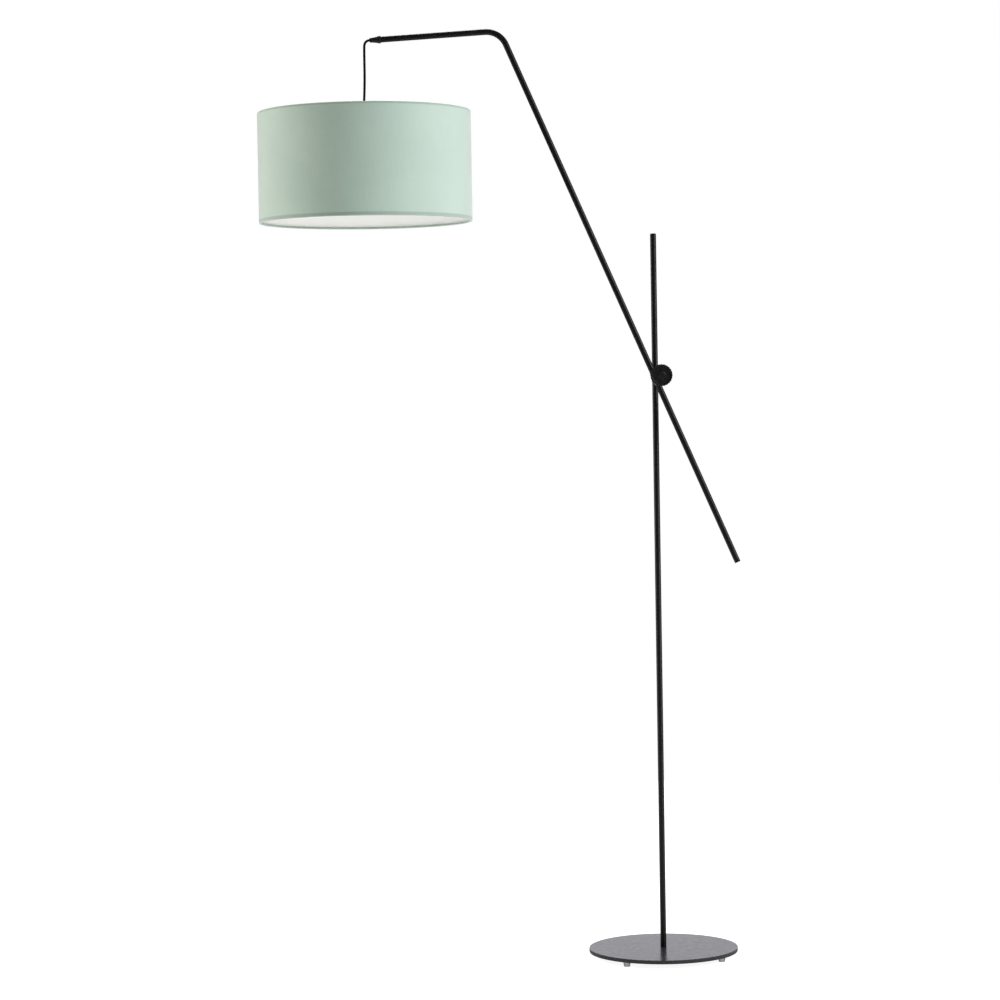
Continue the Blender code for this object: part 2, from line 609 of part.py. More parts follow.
def build_bulb():
    cap_top, cap_bottom = -0.0448, -0.0677
    cap = [(0, cap_top), (0.0045, cap_top), (0.0055, -0.0465), (0.0118, -0.0485),
           (BULB_CAP_RADIUS, -0.0500), (BULB_CAP_RADIUS, cap_bottom), (0, cap_bottom)]
    turned("bulb_screw_cap", cap, STEEL, pendant_frame)

    neck_low = -BULB_CENTRE + BULB_NECK_HEIGHT
    neck_radius = math.sqrt(BULB_RADIUS ** 2 - BULB_NECK_HEIGHT ** 2)
    housing_top = cap_bottom - GAP
    housing = [(0, housing_top), (0.0136, housing_top), (0.0146, -0.0730), (0.0176, -0.0850),
               (neck_radius - 0.0002, neck_low + GAP), (0, neck_low + GAP)]
    turned("bulb_housing", housing, BULB_WHITE, pendant_frame)

    arc_steps = 7
    neck_angle = math.asin(BULB_NECK_HEIGHT / BULB_RADIUS)
    angles = [neck_angle - (neck_angle + math.pi / 2) * index / arc_steps
              for index in range(arc_steps + 1)]
    outer = [(BULB_RADIUS * math.cos(a), -BULB_CENTRE + BULB_RADIUS * math.sin(a))
             for a in angles[:-1]]
    inner_radius = BULB_RADIUS - BULB_WALL
    inner = [(inner_radius * math.cos(a), -BULB_CENTRE + inner_radius * math.sin(a))
             for a in reversed(angles[:-1])]
    globe = [(0, -BULB_CENTRE - inner_radius), *inner, *outer, (0, -BULB_CENTRE - BULB_RADIUS)]
    turned("bulb_globe", globe, OPAL, pendant_frame)


def build_shade():
    inner = SHADE_RADIUS - COVER_THICKNESS
    lip = SHADE_RADIUS - COVER_LIP
    top, bottom = -SHADE_TOP, -SHADE_BOTTOM
    cover = [(SHADE_RADIUS, top), (SHADE_RADIUS, bottom), (lip, bottom),
             (lip, bottom + COVER_THICKNESS), (inner, bottom + COVER_THICKNESS),
             (inner, top - COVER_THICKNESS), (lip, top - COVER_THICKNESS), (lip, top)]
    turned("shade_cover", cover, FABRIC, pendant_frame, steps=ROUND_STEPS, closed=True)

    lining_outer = inner - GAP
    lining_low = bottom + COVER_THICKNESS + GAP
    lining_high = top - COVER_THICKNESS - GAP
    ring("shade_lining", lining_outer - LINING_THICKNESS, lining_outer, lining_low, lining_high,
         LINING, pendant_frame, steps=ROUND_STEPS)

    wire_centre = lining_outer - LINING_THICKNESS - GAP - WIRE_RADIUS
    for name, height in (("shade_top_wire", lining_high - WIRE_RADIUS),
                         ("shade_bottom_wire", lining_low + WIRE_RADIUS)):
        profile = circle_profile(wire_centre, height, WIRE_RADIUS, 5)
        turned(name, profile, WHITE_WIRE, pendant_frame, steps=ROUND_STEPS, closed=True)

    fitter_low = -FITTER_TOP - FITTER_THICKNESS
    spider = ring("shade_spider", FITTER_HOLE_RADIUS, FITTER_RADIUS, fitter_low, -FITTER_TOP,
                  WHITE_WIRE, pendant_frame)
    level = fitter_low + FITTER_THICKNESS / 2
    arm_end = wire_centre - WIRE_RADIUS - GAP
    wire_height = lining_high - WIRE_RADIUS
    route = [Vector((0.0235, 0, level)), Vector((0.120, 0, level)), Vector((0.165, 0, -0.0385)),
             Vector((0.200, 0, -0.0260)), Vector((0.211, 0, wire_height - 0.0030)),
             Vector((arm_end, 0, wire_height))]
    for index in range(SPIDER_ARMS):
        name = f"spider_arm_{index + 1}"
        mesh = curve_mesh(name, route, WIRE_RADIUS, 2, True)
        rod = guide(name, mesh, pendant_frame, (0, 0, 0),
                    (0, 0, math.tau * index / SPIDER_ARMS + math.pi / 2))
        add_boolean(spider, rod, "UNION")


build_base()
build_clamp()
build_knob()
build_arm()
build_cord()
build_lampholder()
build_bulb()
build_shade()
bpy.context.view_layer.update()
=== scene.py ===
"""Looks of the adjustable arm floor lamp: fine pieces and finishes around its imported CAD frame.

Lengths are metres on the frame's axes: the floor is z = 0, the shade hangs towards -X and the knob
faces -Y. Most pieces are turned or swept again, at a fine step, over the CAD node they replace.
"""
import json
import math

import bmesh
import bpy
from mathutils import Matrix, Vector

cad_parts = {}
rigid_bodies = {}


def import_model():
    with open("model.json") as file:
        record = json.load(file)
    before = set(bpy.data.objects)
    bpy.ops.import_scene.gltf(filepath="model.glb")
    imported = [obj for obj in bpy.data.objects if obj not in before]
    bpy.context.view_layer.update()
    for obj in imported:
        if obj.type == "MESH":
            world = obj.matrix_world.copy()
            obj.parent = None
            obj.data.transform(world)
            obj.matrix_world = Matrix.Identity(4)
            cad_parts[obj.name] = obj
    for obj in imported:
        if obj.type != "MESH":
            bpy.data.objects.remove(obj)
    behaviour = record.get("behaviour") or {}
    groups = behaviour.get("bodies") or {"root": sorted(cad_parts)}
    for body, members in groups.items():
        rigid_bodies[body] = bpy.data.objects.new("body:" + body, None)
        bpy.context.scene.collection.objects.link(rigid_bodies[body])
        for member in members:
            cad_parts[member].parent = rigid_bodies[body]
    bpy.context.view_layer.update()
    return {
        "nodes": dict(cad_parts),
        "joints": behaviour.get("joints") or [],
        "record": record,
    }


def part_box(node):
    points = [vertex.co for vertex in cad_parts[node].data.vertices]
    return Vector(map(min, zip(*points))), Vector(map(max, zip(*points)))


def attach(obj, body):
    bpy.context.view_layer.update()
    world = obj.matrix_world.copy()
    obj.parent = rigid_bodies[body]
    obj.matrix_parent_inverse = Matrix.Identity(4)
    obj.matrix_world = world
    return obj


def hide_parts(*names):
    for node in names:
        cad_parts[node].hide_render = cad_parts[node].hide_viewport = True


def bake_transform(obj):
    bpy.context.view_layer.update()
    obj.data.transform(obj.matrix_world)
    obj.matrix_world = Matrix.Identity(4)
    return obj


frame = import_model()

# ---- facts read from the frame -----------------------------------------------------------------
RECORD = frame["record"]
JOINTS = {joint["name"]: joint for joint in frame["joints"]}
BODY_OF = {node: body for body, nodes in RECORD["behaviour"]["bodies"].items() for node in nodes}
SLOT_OF = {part["node"]: part["material_slot"] for part in RECORD["subparts"]}

BOLT = Vector(JOINTS["arm_tilt"]["pos_m"])
CORD_EXIT = Vector(JOINTS["cord_bend"]["pos_m"])
GRIP = Vector(JOINTS["swing_side"]["pos_m"])
ARM_UP = Vector(JOINTS["arm_reach"]["axis"]).normalized()
ARM_ACROSS = Vector((ARM_UP.z, 0, -ARM_UP.x))

# ---- dimensions of the CAD that this script repeats --------------------------------------------
ARM_OFFSET = 0.013                # from the arm's axis to the bolt's axis
ARM_LOWER = 0.4240                # from the clamp down to the arm's lower end
ARM_UPPER = 0.7995                # from the clamp up to the corner of the bend
ARM_TOP = 0.2500                  # from that corner to the tube's tip
ARM_TURN = math.radians(69.9)
ARM_BEND_RADIUS = 0.045
TUBE_RADIUS = 0.00635
TUBE_WALL = 0.0012
RELIEF_LENGTH = 0.0246
CORD_RADIUS = 0.0026
GROOVE_RADIUS = 0.0073
BOLT_HOLE_RADIUS = 0.0032
WIRE_RADIUS = 0.0014
FOOT_BOTTOM_RADIUS = 0.0063
SOCKET_RADIUS = 0.0029            # of the hexagon in the plate's bolt

TOP_LEAN = math.atan2(-ARM_UP.x, ARM_UP.z) + ARM_TURN
ARM_TOP_AXIS = Vector((-math.sin(TOP_LEAN), 0, math.cos(TOP_LEAN)))

# The cord from the strain relief's mouth to the cord grip: across (+X) and up (+Z), metres.
CORD_ROUTE = [
    (0.0000, 0.0000), (-0.0027, -0.0004), (-0.0052, -0.0014), (-0.0074, -0.0030),
    (-0.0091, -0.0051), (-0.0103, -0.0076), (-0.0110, -0.0108), (-0.0113, -0.0148),
    (-0.0114, -0.0205), (-0.0115, -0.0285), (-0.0115, -0.0390), (-0.0115, -0.0520),
    (-0.0115, -0.0670), (-0.0117, -0.0830), (-0.0122, -0.1000), (-0.0130, -0.1180),
    (-0.0137, -0.1310), (-0.0141, -0.1392),
]
IN_RELIEF = 0.003
IN_GRIP = 0.001

# ---- dimensions that only the fine pieces have -------------------------------------------------
SHARP_ANGLE = math.radians(32)    # edges that turn more than this are shaded as sharp
RIM_DEPTH = 0.0006                # the plate's faces this close to its edge, and this steep,
RIM_SLOPE = 0.8                   # have the rim's finish
KNOB_FLUTES = 24
KNOB_FLUTE_DEPTH = 0.0006
KNOB_RIBS = 6
KNOB_RIB_HALF = 0.0007            # half of a rib's width
RECESS_DEPTH = 0.0016             # of the ring round the knob's cap, which the ribs cross
CAP_RADIUS = 0.0070
SKIRT_PITCH = 0.0025              # of the thread on the lampholder's body
SKIRT_DEPTH = 0.0007
SCREW_PITCH = 0.0036              # of the E27 thread
SCREW_DEPTH = 0.0011
NUT_GRIPS = 18                    # round each ring nut's edge
NUT_GRIP_DEPTH = 0.0006
SPIDER_WIRES = 3
CLOTH = 0.0005                    # the fabric's thickness
SEAM_ANGLE = math.radians(97)
SEAM_WIDTH = 0.010
WEAVE_PITCH = 0.00042             # from thread to thread
# heights of the bands over the turned-in hems that get painted shade
BOTTOM_HEM_SHADE = 0.0078
TOP_HEM_SHADE = 0.0045

# ---- camera and lights -------------------------------------------------------------------------
CAMERA_ASIDE = -0.3327            # along X from the pole, in metres
CAMERA_AHEAD = -6.161             # along Y from the pole
CAMERA_HEIGHT = 1.1596            # above the floor
CAMERA_LENS = 104.64              # in millimetres
CAMERA_SENSOR = 36.0
CAMERA_DROOP = 1.709              # below level, in degrees
CAMERA_ROLL = -0.937

# Strengths of the world as the lamp sees it, and of the floor's own light.
FRONT_FILL = 0.13
BACK_GLOW = 1.24
OVERHEAD = 0.50
FLOOR_GLOW = 0.90
FLOOR_RADIUS = 3.0

# Soft boxes: name, azimuth (0 is the camera's side, 90 is +X), distance, height, size, watts, colour.
SOFT_BOXES = [
    ("right_softbox", 68, 4.5, 3.3, (1.6, 1.8), 239, (0.985, 0.895, 1.0)),
    ("left_softbox", -95, 4.5, 3.3, (1.6, 1.8), 182, (1.0, 0.87, 0.89)),
    ("back_softbox", 180, 2.6, 4.4, (1.8, 1.4), 85, (1.0, 1.0, 0.97)),
]
TUBE_PANELS = [                   # these light only the painted tubes
    ("right_panel", 68, 4.5, 1.0, (1.6, 2.0), 190, (1.0, 1.0, 1.0)),
    ("left_panel", -95, 4.5, 1.0, (1.6, 2.0), 190, (1.0, 1.0, 1.0)),
]
# The fill lights only the shade's lining.
LINING_FILL = ("lining_fill", 6, 2.5, 0.5, (1.0, 0.6), 9.5, (0.94, 1.0, 0.93))
LIGHTS_AIM = Vector((0, 0, 1.4))  # where they all point

# ---- colours of the fabric ---------------------------------------------------------------------
MINT = (0.495, 0.665, 0.545)
MINT_LIGHT = (0.523, 0.695, 0.572)
MINT_DARK = (0.380, 0.530, 0.423)
# painted shade on the hems, where the doubled cloth and wire let less light through
MINT_HEM_SHADE = (0.295, 0.410, 0.330)


def arm_point(across, along):
    """A point in the arm's plane, across and along its straight part from the bolt."""
    point = BOLT + ARM_ACROSS * across + ARM_UP * along
    return Vector((point.x, 0, point.z))


# ---- camera ------------------------------------------------------------------------------------
def make_camera():
    pole_low, pole_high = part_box("pole_tube")
    pole = (pole_low + pole_high) / 2
    data = bpy.data.cameras.new("camera")
    data.sensor_width = CAMERA_SENSOR
    data.lens = CAMERA_LENS
    data.clip_end = 100.0
    camera = bpy.data.objects.new("camera", data)
    bpy.context.scene.collection.objects.link(camera)
    place = Matrix.Translation((pole.x + CAMERA_ASIDE, pole.y + CAMERA_AHEAD, CAMERA_HEIGHT))
    pitch = Matrix.Rotation(math.radians(90 - CAMERA_DROOP), 4, "X")
    roll = Matrix.Rotation(math.radians(CAMERA_ROLL), 4, "Z")
    camera.matrix_world = place @ pitch @ roll
    bpy.context.scene.camera = camera


# ---- mesh helpers ------------------------------------------------------------------------------
def new_object(name, verts, faces):
    mesh = bpy.data.meshes.new(name)
    mesh.from_pydata(verts, [], faces)
    shape = bmesh.new()
    shape.from_mesh(mesh)
    bmesh.ops.recalc_face_normals(shape, faces=shape.faces)
    shape.to_mesh(mesh)
    shape.free()
    mesh.shade_smooth()
    mesh.set_sharp_from_angle(angle=SHARP_ANGLE)
    item = bpy.data.objects.new(name, mesh)
    bpy.context.scene.collection.objects.link(item)
    return item


def soften(profile, radius, closed=False, steps=4):
    """The profile with its corners rounded off, and a point beside each to keep the flats flat."""
    points = [Vector(point) for point in profile]
    rounded = []
    for index, corner in enumerate(points):
        if not closed and index in (0, len(points) - 1):
            rounded.append(corner)
            continue
        before = points[index - 1] - corner
        after = points[(index + 1) % len(points)] - corner
        if before.angle(after) > math.radians(165):
            rounded.append(corner)
            continue
        reach = min(radius, before.length * 0.45, after.length * 0.45)
        start = corner + before.normalized() * reach
        end = corner + after.normalized() * reach
        rounded.append(corner + before.normalized() * reach * 1.1)
        for step in range(steps + 1):
            t = step / steps
            rounded.append(start * (1 - t) ** 2 + corner * 2 * t * (1 - t) + end * t ** 2)
        rounded.append(corner + after.normalized() * reach * 1.1)
    return rounded


def subdivided(profile, longest):
    """The profile with its long stretches divided."""
    points = [Vector(profile[0])]
    for point in profile[1:]:
        start = points[-1]
        end = Vector(point)
        count = max(1, math.ceil((end - start).length / longest))
        points += [start.lerp(end, step / count) for step in range(1, count + 1)]
    return points


def turned(name, profile, steps=96, closed=False, shape=None):
    """A turned piece about its own z axis. shape may move each (angle, radius, height)."""
    verts, rings = [], []
    for radius, height in profile:
        if radius < 1e-6:
            rings.append([len(verts)] * steps)
            verts.append((0, 0, height))
            continue
        rings.append(range(len(verts), len(verts) + steps))
        for step in range(steps):
            angle = math.tau * step / steps
            out, up = shape(angle, radius, height) if shape else (radius, height)
            verts.append((out * math.cos(angle), out * math.sin(angle), up))
    pairs = list(zip(rings, rings[1:]))
    if closed:
        pairs.append((rings[-1], rings[0]))
    faces = []
    for upper, lower in pairs:
        for step in range(steps):
            after = (step + 1) % steps
            face = dict.fromkeys((upper[step], upper[after], lower[after], lower[step]))
            if len(face) > 2:
                faces.append(list(face))
    return new_object(name, verts, faces)


def swept(name, sections, sides=48, closed=False):
    """A round piece along (centre, tangent, radius) sections that all lie in one XZ plane."""
    verts, faces = [], []
    side = Vector((0, 1, 0))
    for centre, tangent, radius in sections:
        up = tangent.cross(side).normalized()
        for step in range(sides):
            angle = math.tau * step / sides
            verts.append(centre + (side * math.cos(angle) + up * math.sin(angle)) * radius)
    count = len(sections)
    for index in range(count if closed else count - 1):
        first, second = index * sides, (index + 1) % count * sides
        for step in range(sides):
            after = (step + 1) % sides
            faces.append((first + step, first + after, second + after, second + step))
    if not closed:
        faces.append(range(sides))
        faces.append(range((count - 1) * sides, count * sides))
    return new_object(name, verts, faces)


def rod_sections(path, radius, edge):
    """Sections along a path, with both ends rounded by edge."""
    tangents = []
    for index in range(len(path)):
        start = path[max(0, index - 1)]
        end = path[min(len(path) - 1, index + 1)]
        tangents.append((end - start).normalized())
    sections = [(point, tangent, radius) for point, tangent in zip(path, tangents)]
    steps = 4
    first, last = [], []
    for step in range(steps):
        angle = math.pi / 2 * step / steps
        inset, narrowed = edge * (1 - math.cos(angle)), radius - edge * (1 - math.sin(angle))
        first.append((path[0] + tangents[0] * inset, tangents[0], narrowed))
        last.append((path[-1] - tangents[-1] * inset, tangents[-1], narrowed))
    return first + sections[1:-1] + last[::-1]


def smooth_path(points, steps):
    """A Catmull-Rom curve through the points, as a denser list of points."""
    ends = [points[0] * 2 - points[1], *points, points[-1] * 2 - points[-2]]
    path = []
    for before, start, end, after in zip(ends, ends[1:], ends[2:], ends[3:]):
        for step in range(steps):
            t = step / steps
            path.append(0.5 * (2 * start + (end - before) * t
                               + (2 * before - 5 * start + 4 * end - after) * t ** 2
                               + (3 * start - before - 3 * end + after) * t ** 3))
    path.append(points[-1].copy())
    return path


def applied(item):
    """Replaces an object's mesh with its evaluated one."""
    bpy.context.view_layer.update()
    graph = bpy.context.evaluated_depsgraph_get()
    mesh = bpy.data.meshes.new_from_object(item.evaluated_get(graph))
    item.modifiers.clear()
    item.data = mesh
    mesh.shade_smooth()
    mesh.set_sharp_from_angle(angle=SHARP_ANGLE)
    return item


def combined(item, other, operation):
    """Cuts the other object out of an object, or joins it on, and removes the other."""
    boolean = item.modifiers.new("boolean", "BOOLEAN")
    boolean.object = other
    boolean.operation = operation
    boolean.solver = "EXACT"
    applied(item)
    bpy.data.objects.remove(other, do_unlink=True)
    return item


def upright(node):
    """Where a node that is turned about a vertical axis stands: axis, radius, low, high."""
    low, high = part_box(node)
    return Vector(((low.x + high.x) / 2, (low.y + high.y) / 2, 0)), (high.x - low.x) / 2, low.z, high.z


def towards_knob(centre):
    """The place of a piece whose z axis points to the knob's side and whose y axis points up."""
    return Matrix.Translation((centre.x, 0, centre.z)) @ Matrix.Rotation(math.pi / 2, 4, "X")


# ---- finishes ----------------------------------------------------------------------------------
class Finish:
    """A Principled material that is built up from noises, colours and bumps."""

    def __init__(self, name, colour, roughness, metallic=0.0, specular=0.5):
        self.material = bpy.data.materials.new(name)
        self.material.use_nodes = True
        self.tree = self.material.node_tree
        self.shader = self.tree.nodes["Principled BSDF"]
        self.shader.inputs["Base Color"].default_value = (*colour, 1)
        self.shader.inputs["Roughness"].default_value = roughness
        self.shader.inputs["Metallic"].default_value = metallic
        self.shader.inputs["Specular IOR Level"].default_value = specular
        self.shader.inputs["IOR"].default_value = 1.5
        self.place = self.add("ShaderNodeTexCoord").outputs["Object"]
        self.bumps = None

    def add(self, kind, **inputs):
        node = self.tree.nodes.new(kind)
        for name, value in inputs.items():
            self.put(node.inputs[name.replace("_", " ")], value)
        return node

    def put(self, socket, value):
        if isinstance(value, bpy.types.NodeSocket):
            self.tree.links.new(value, socket)
        else:
            socket.default_value = value

    def maths(self, operation, first, second=0.0):
        node = self.tree.nodes.new("ShaderNodeMath")
        node.operation = operation
        self.put(node.inputs[0], first)
        self.put(node.inputs[1], second)
        return node.outputs[0]

    def stretched(self, scale, vector=None):
        """The coordinates, multiplied on each axis."""
        node = self.tree.nodes.new("ShaderNodeVectorMath")
        node.operation = "MULTIPLY"
        self.put(node.inputs[0], vector or self.place)
        self.put(node.inputs[1], scale)
        return node.outputs[0]

    def noise(self, scale, detail=2.0, roughness=0.5, vector=None):
        return self.add("ShaderNodeTexNoise", Vector=vector or self.place, Scale=scale,
                        Detail=detail, Roughness=roughness).outputs["Fac"]

    def ranged(self, value, low, high, to_low, to_high):
        node = self.add("ShaderNodeMapRange", Value=value, From_Min=low, From_Max=high,
                        To_Min=to_low, To_Max=to_high)
        return node.outputs["Result"]

    def mixed(self, share, first, second):
        node = self.tree.nodes.new("ShaderNodeMix")
        node.data_type = "RGBA"
        self.put(node.inputs["Factor"], share)
        colours = [socket for socket in node.inputs if socket.type == "RGBA"]
        for socket, value in zip(colours, (first, second)):
            self.put(socket, value if isinstance(value, bpy.types.NodeSocket) else (*value, 1))
        return [socket for socket in node.outputs if socket.type == "RGBA"][0]

    def bump(self, height, distance, strength=1.0):
        node = self.add("ShaderNodeBump", Height=height, Distance=distance, Strength=strength)
        if self.bumps:
            self.put(node.inputs["Normal"], self.bumps)
        self.bumps = node.outputs["Normal"]
        self.put(self.shader.inputs["Normal"], self.bumps)

    def edges(self, radius, low, high):
        """A mask that is 1 on outer and inner edges tighter than radius."""
        bevel = self.add("ShaderNodeBevel", Radius=radius)
        bevel.samples = 6
        geometry = self.add("ShaderNodeNewGeometry")
        dot = self.tree.nodes.new("ShaderNodeVectorMath")
        dot.operation = "DOT_PRODUCT"
        self.put(dot.inputs[0], bevel.outputs["Normal"])
        self.put(dot.inputs[1], geometry.outputs["Normal"])
        return self.ranged(dot.outputs["Value"], high, low, 0.0, 1.0)

    def colour(self, value):
        self.put(self.shader.inputs["Base Color"], value)

    def roughness(self, value):
        self.put(self.shader.inputs["Roughness"], value)


def grey(level):
    """A neutral colour."""
    return (level, level, level)


def powder_coat(name, dark, light, worn, low_gloss, high_gloss, grain, depth, specular):
    """Sprayed powder: orange peel, a fine grain, and edges rubbed a little lighter."""
    finish = Finish(name, dark, low_gloss, specular=specular)
    cloud = finish.noise(38, 4)
    speckle = finish.noise(grain * 2.2, 1)
    painted = finish.mixed(finish.ranged(cloud, 0.35, 0.65, 0, 1), dark, light)
    painted = finish.mixed(finish.ranged(speckle, 0.62, 0.80, 0, 0.35), painted, worn)
    scuffs = finish.ranged(finish.noise(260, 3), 0.48, 0.62, 0, 1)
    edge = finish.maths("MULTIPLY", finish.edges(0.0009, 0.80, 0.97), scuffs)
    finish.colour(finish.mixed(finish.maths("MULTIPLY", edge, 0.55), painted, worn))
    finish.roughness(finish.ranged(finish.noise(95, 3), 0.3, 0.7, low_gloss, high_gloss))
    finish.bump(finish.noise(grain, 2), depth, 0.5)
    finish.bump(finish.noise(grain * 3.1, 1), depth / 3, 0.5)
    return finish.material


def moulded(name, dark, light, low_gloss, high_gloss, grain=2400, depth=0.00002, specular=0.5):
    """Moulded plastic: a spark-eroded grain and slight mottling."""
    finish = Finish(name, dark, low_gloss, specular=specular)
    cloud = finish.noise(60, 3)
    finish.colour(finish.mixed(finish.ranged(cloud, 0.35, 0.7, 0, 1), dark, light))
    finish.roughness(finish.ranged(finish.noise(140, 3), 0.3, 0.7, low_gloss, high_gloss))
    finish.bump(finish.noise(grain, 2), depth, 0.6)
    return finish.material


def metal(name, dark, light, low_gloss, high_gloss, lines):
    """Plated metal with fine machining lines round its axis and a cloudy tarnish."""
    finish = Finish(name, light, low_gloss, 1.0)
    cloud = finish.noise(150, 4)
    finish.colour(finish.mixed(finish.ranged(cloud, 0.35, 0.7, 0, 1), dark, light))
    streaks = finish.noise(lines, 2, vector=finish.stretched((0.15, 0.15, 1.0)))
    finish.roughness(finish.ranged(streaks, 0.3, 0.7, low_gloss, high_gloss))
    finish.bump(streaks, 0.00002, 0.5)
    return finish.material


def clear_rubber():
    """Clear polyurethane, hazy inside, with painted shade, near black, where it is seen edge on."""
    finish = Finish("clear_polyurethane", (0.93, 0.94, 0.95), 0.12)
    finish.shader.inputs["Transmission Weight"].default_value = 0.30
    finish.shader.inputs["IOR"].default_value = 1.48
    haze = finish.noise(420, 3)
    clear = finish.mixed(finish.ranged(haze, 0.4, 0.7, 0, 1), (0.50, 0.51, 0.52),
                         (0.36, 0.37, 0.38))
    # painted shade: the colour goes near black where the surface is seen edge on
    rim = finish.add("ShaderNodeLayerWeight", Blend=0.5).outputs["Facing"]
    finish.colour(finish.mixed(finish.ranged(rim, 0.06, 0.50, 0, 1), clear, grey(0.02)))
    finish.roughness(finish.ranged(haze, 0.3, 0.7, 0.08, 0.26))
    finish.bump(finish.noise(900, 2), 0.00004, 0.4)
    return finish.material


def flex_sheath():
    """Dull black sheath of the flex, faintly mottled, with a fine grain."""
    finish = Finish("black_flex", grey(0.004), 0.62, specular=0.03)
    cloud = finish.noise(120, 3)
    finish.colour(finish.mixed(finish.ranged(cloud, 0.35, 0.7, 0, 1), grey(0.0030), grey(0.0065)))
    finish.roughness(finish.ranged(finish.noise(700, 2), 0.3, 0.7, 0.55, 0.75))
    finish.bump(finish.noise(1500, 2), 0.00003, 0.5)
    return finish.material


def drum_coordinates(finish, radius):
    """Lengths round and up a drum that stands on its object's z axis, in metres."""
    split = finish.add("ShaderNodeSeparateXYZ", Vector=finish.place)
    angle = finish.maths("ARCTAN2", split.outputs["Y"], split.outputs["X"])
    return finish.maths("MULTIPLY", angle, radius), split.outputs["Z"]


def shade_fabric(radius, low, high):
    """Mint chintz: a close plain weave with faint slubs, and painted shade on the bands over the
    turned-in hems, where the doubled cloth lets less light through.
    """
    finish = Finish("mint_fabric", MINT, 0.80, specular=0.3)
    finish.shader.inputs["Sheen Weight"].default_value = 0.80
    finish.shader.inputs["Sheen Roughness"].default_value = 0.40
    around, height = drum_coordinates(finish, radius)
    warp = finish.maths("SINE", finish.maths("MULTIPLY", around, math.pi / WEAVE_PITCH))
    weft = finish.maths("SINE", finish.maths("MULTIPLY", height, math.pi / WEAVE_PITCH))
    weave = finish.maths("MULTIPLY", warp, weft)
    ribs = finish.maths("ADD", finish.maths("ABSOLUTE", warp), finish.maths("ABSOLUTE", weft))
    flat = finish.add("ShaderNodeCombineXYZ", X=around, Y=height).outputs["Vector"]
    slub_up = finish.noise(1.0, 2, vector=finish.stretched((1900, 22, 1), flat))
    slub_round = finish.noise(1.0, 2, vector=finish.stretched((22, 1900, 1), flat))
    slubs = finish.maths("ADD", slub_up, slub_round)
    cloud = finish.noise(9, 3)
    cloth = finish.mixed(finish.ranged(cloud, 0.35, 0.65, 0, 1), MINT, MINT_LIGHT)
    cloth = finish.mixed(finish.ranged(slubs, 0.85, 1.2, 0.0, 0.30), cloth, MINT_DARK)
    cloth = finish.mixed(finish.ranged(weave, -1, 1, 0.0, 0.22), cloth, MINT_DARK)
    top_of_hem, foot_of_hem = low + BOTTOM_HEM_SHADE, high - TOP_HEM_SHADE
    # painted shade: the bands over the hems are darkened for the light that the doubled cloth keeps
    # out
    bottom_hem_shade = finish.ranged(height, top_of_hem - 0.0008, top_of_hem + 0.0008, 0.68, 0)
    top_hem_shade = finish.ranged(height, foot_of_hem - 0.0012, foot_of_hem + 0.0012, 0, 0.66)
    finish.colour(finish.mixed(finish.maths("MAXIMUM", bottom_hem_shade, top_hem_shade), cloth, MINT_HEM_SHADE))
    finish.roughness(finish.ranged(slubs, 0.8, 1.2, 0.86, 0.72))
    finish.bump(weave, 0.00005, 0.6)
    finish.bump(ribs, 0.00003, 0.5)
    finish.bump(slubs, 0.00008, 0.5)
    return finish.material


def shade_backing():
    """White styrene film behind the fabric, slightly cloudy, with a faint satin face."""
    finish = Finish("white_backing", (0.95, 0.95, 0.935), 0.42)
    cloud = finish.noise(14, 4)
    finish.colour(finish.mixed(finish.ranged(cloud, 0.35, 0.7, 0, 1), (0.955, 0.970, 0.945),
                               (0.925, 0.940, 0.910)))
    finish.roughness(finish.ranged(finish.noise(60, 3), 0.3, 0.7, 0.38, 0.52))
    finish.bump(finish.noise(420, 3), 0.00005, 0.4)
    return finish.material


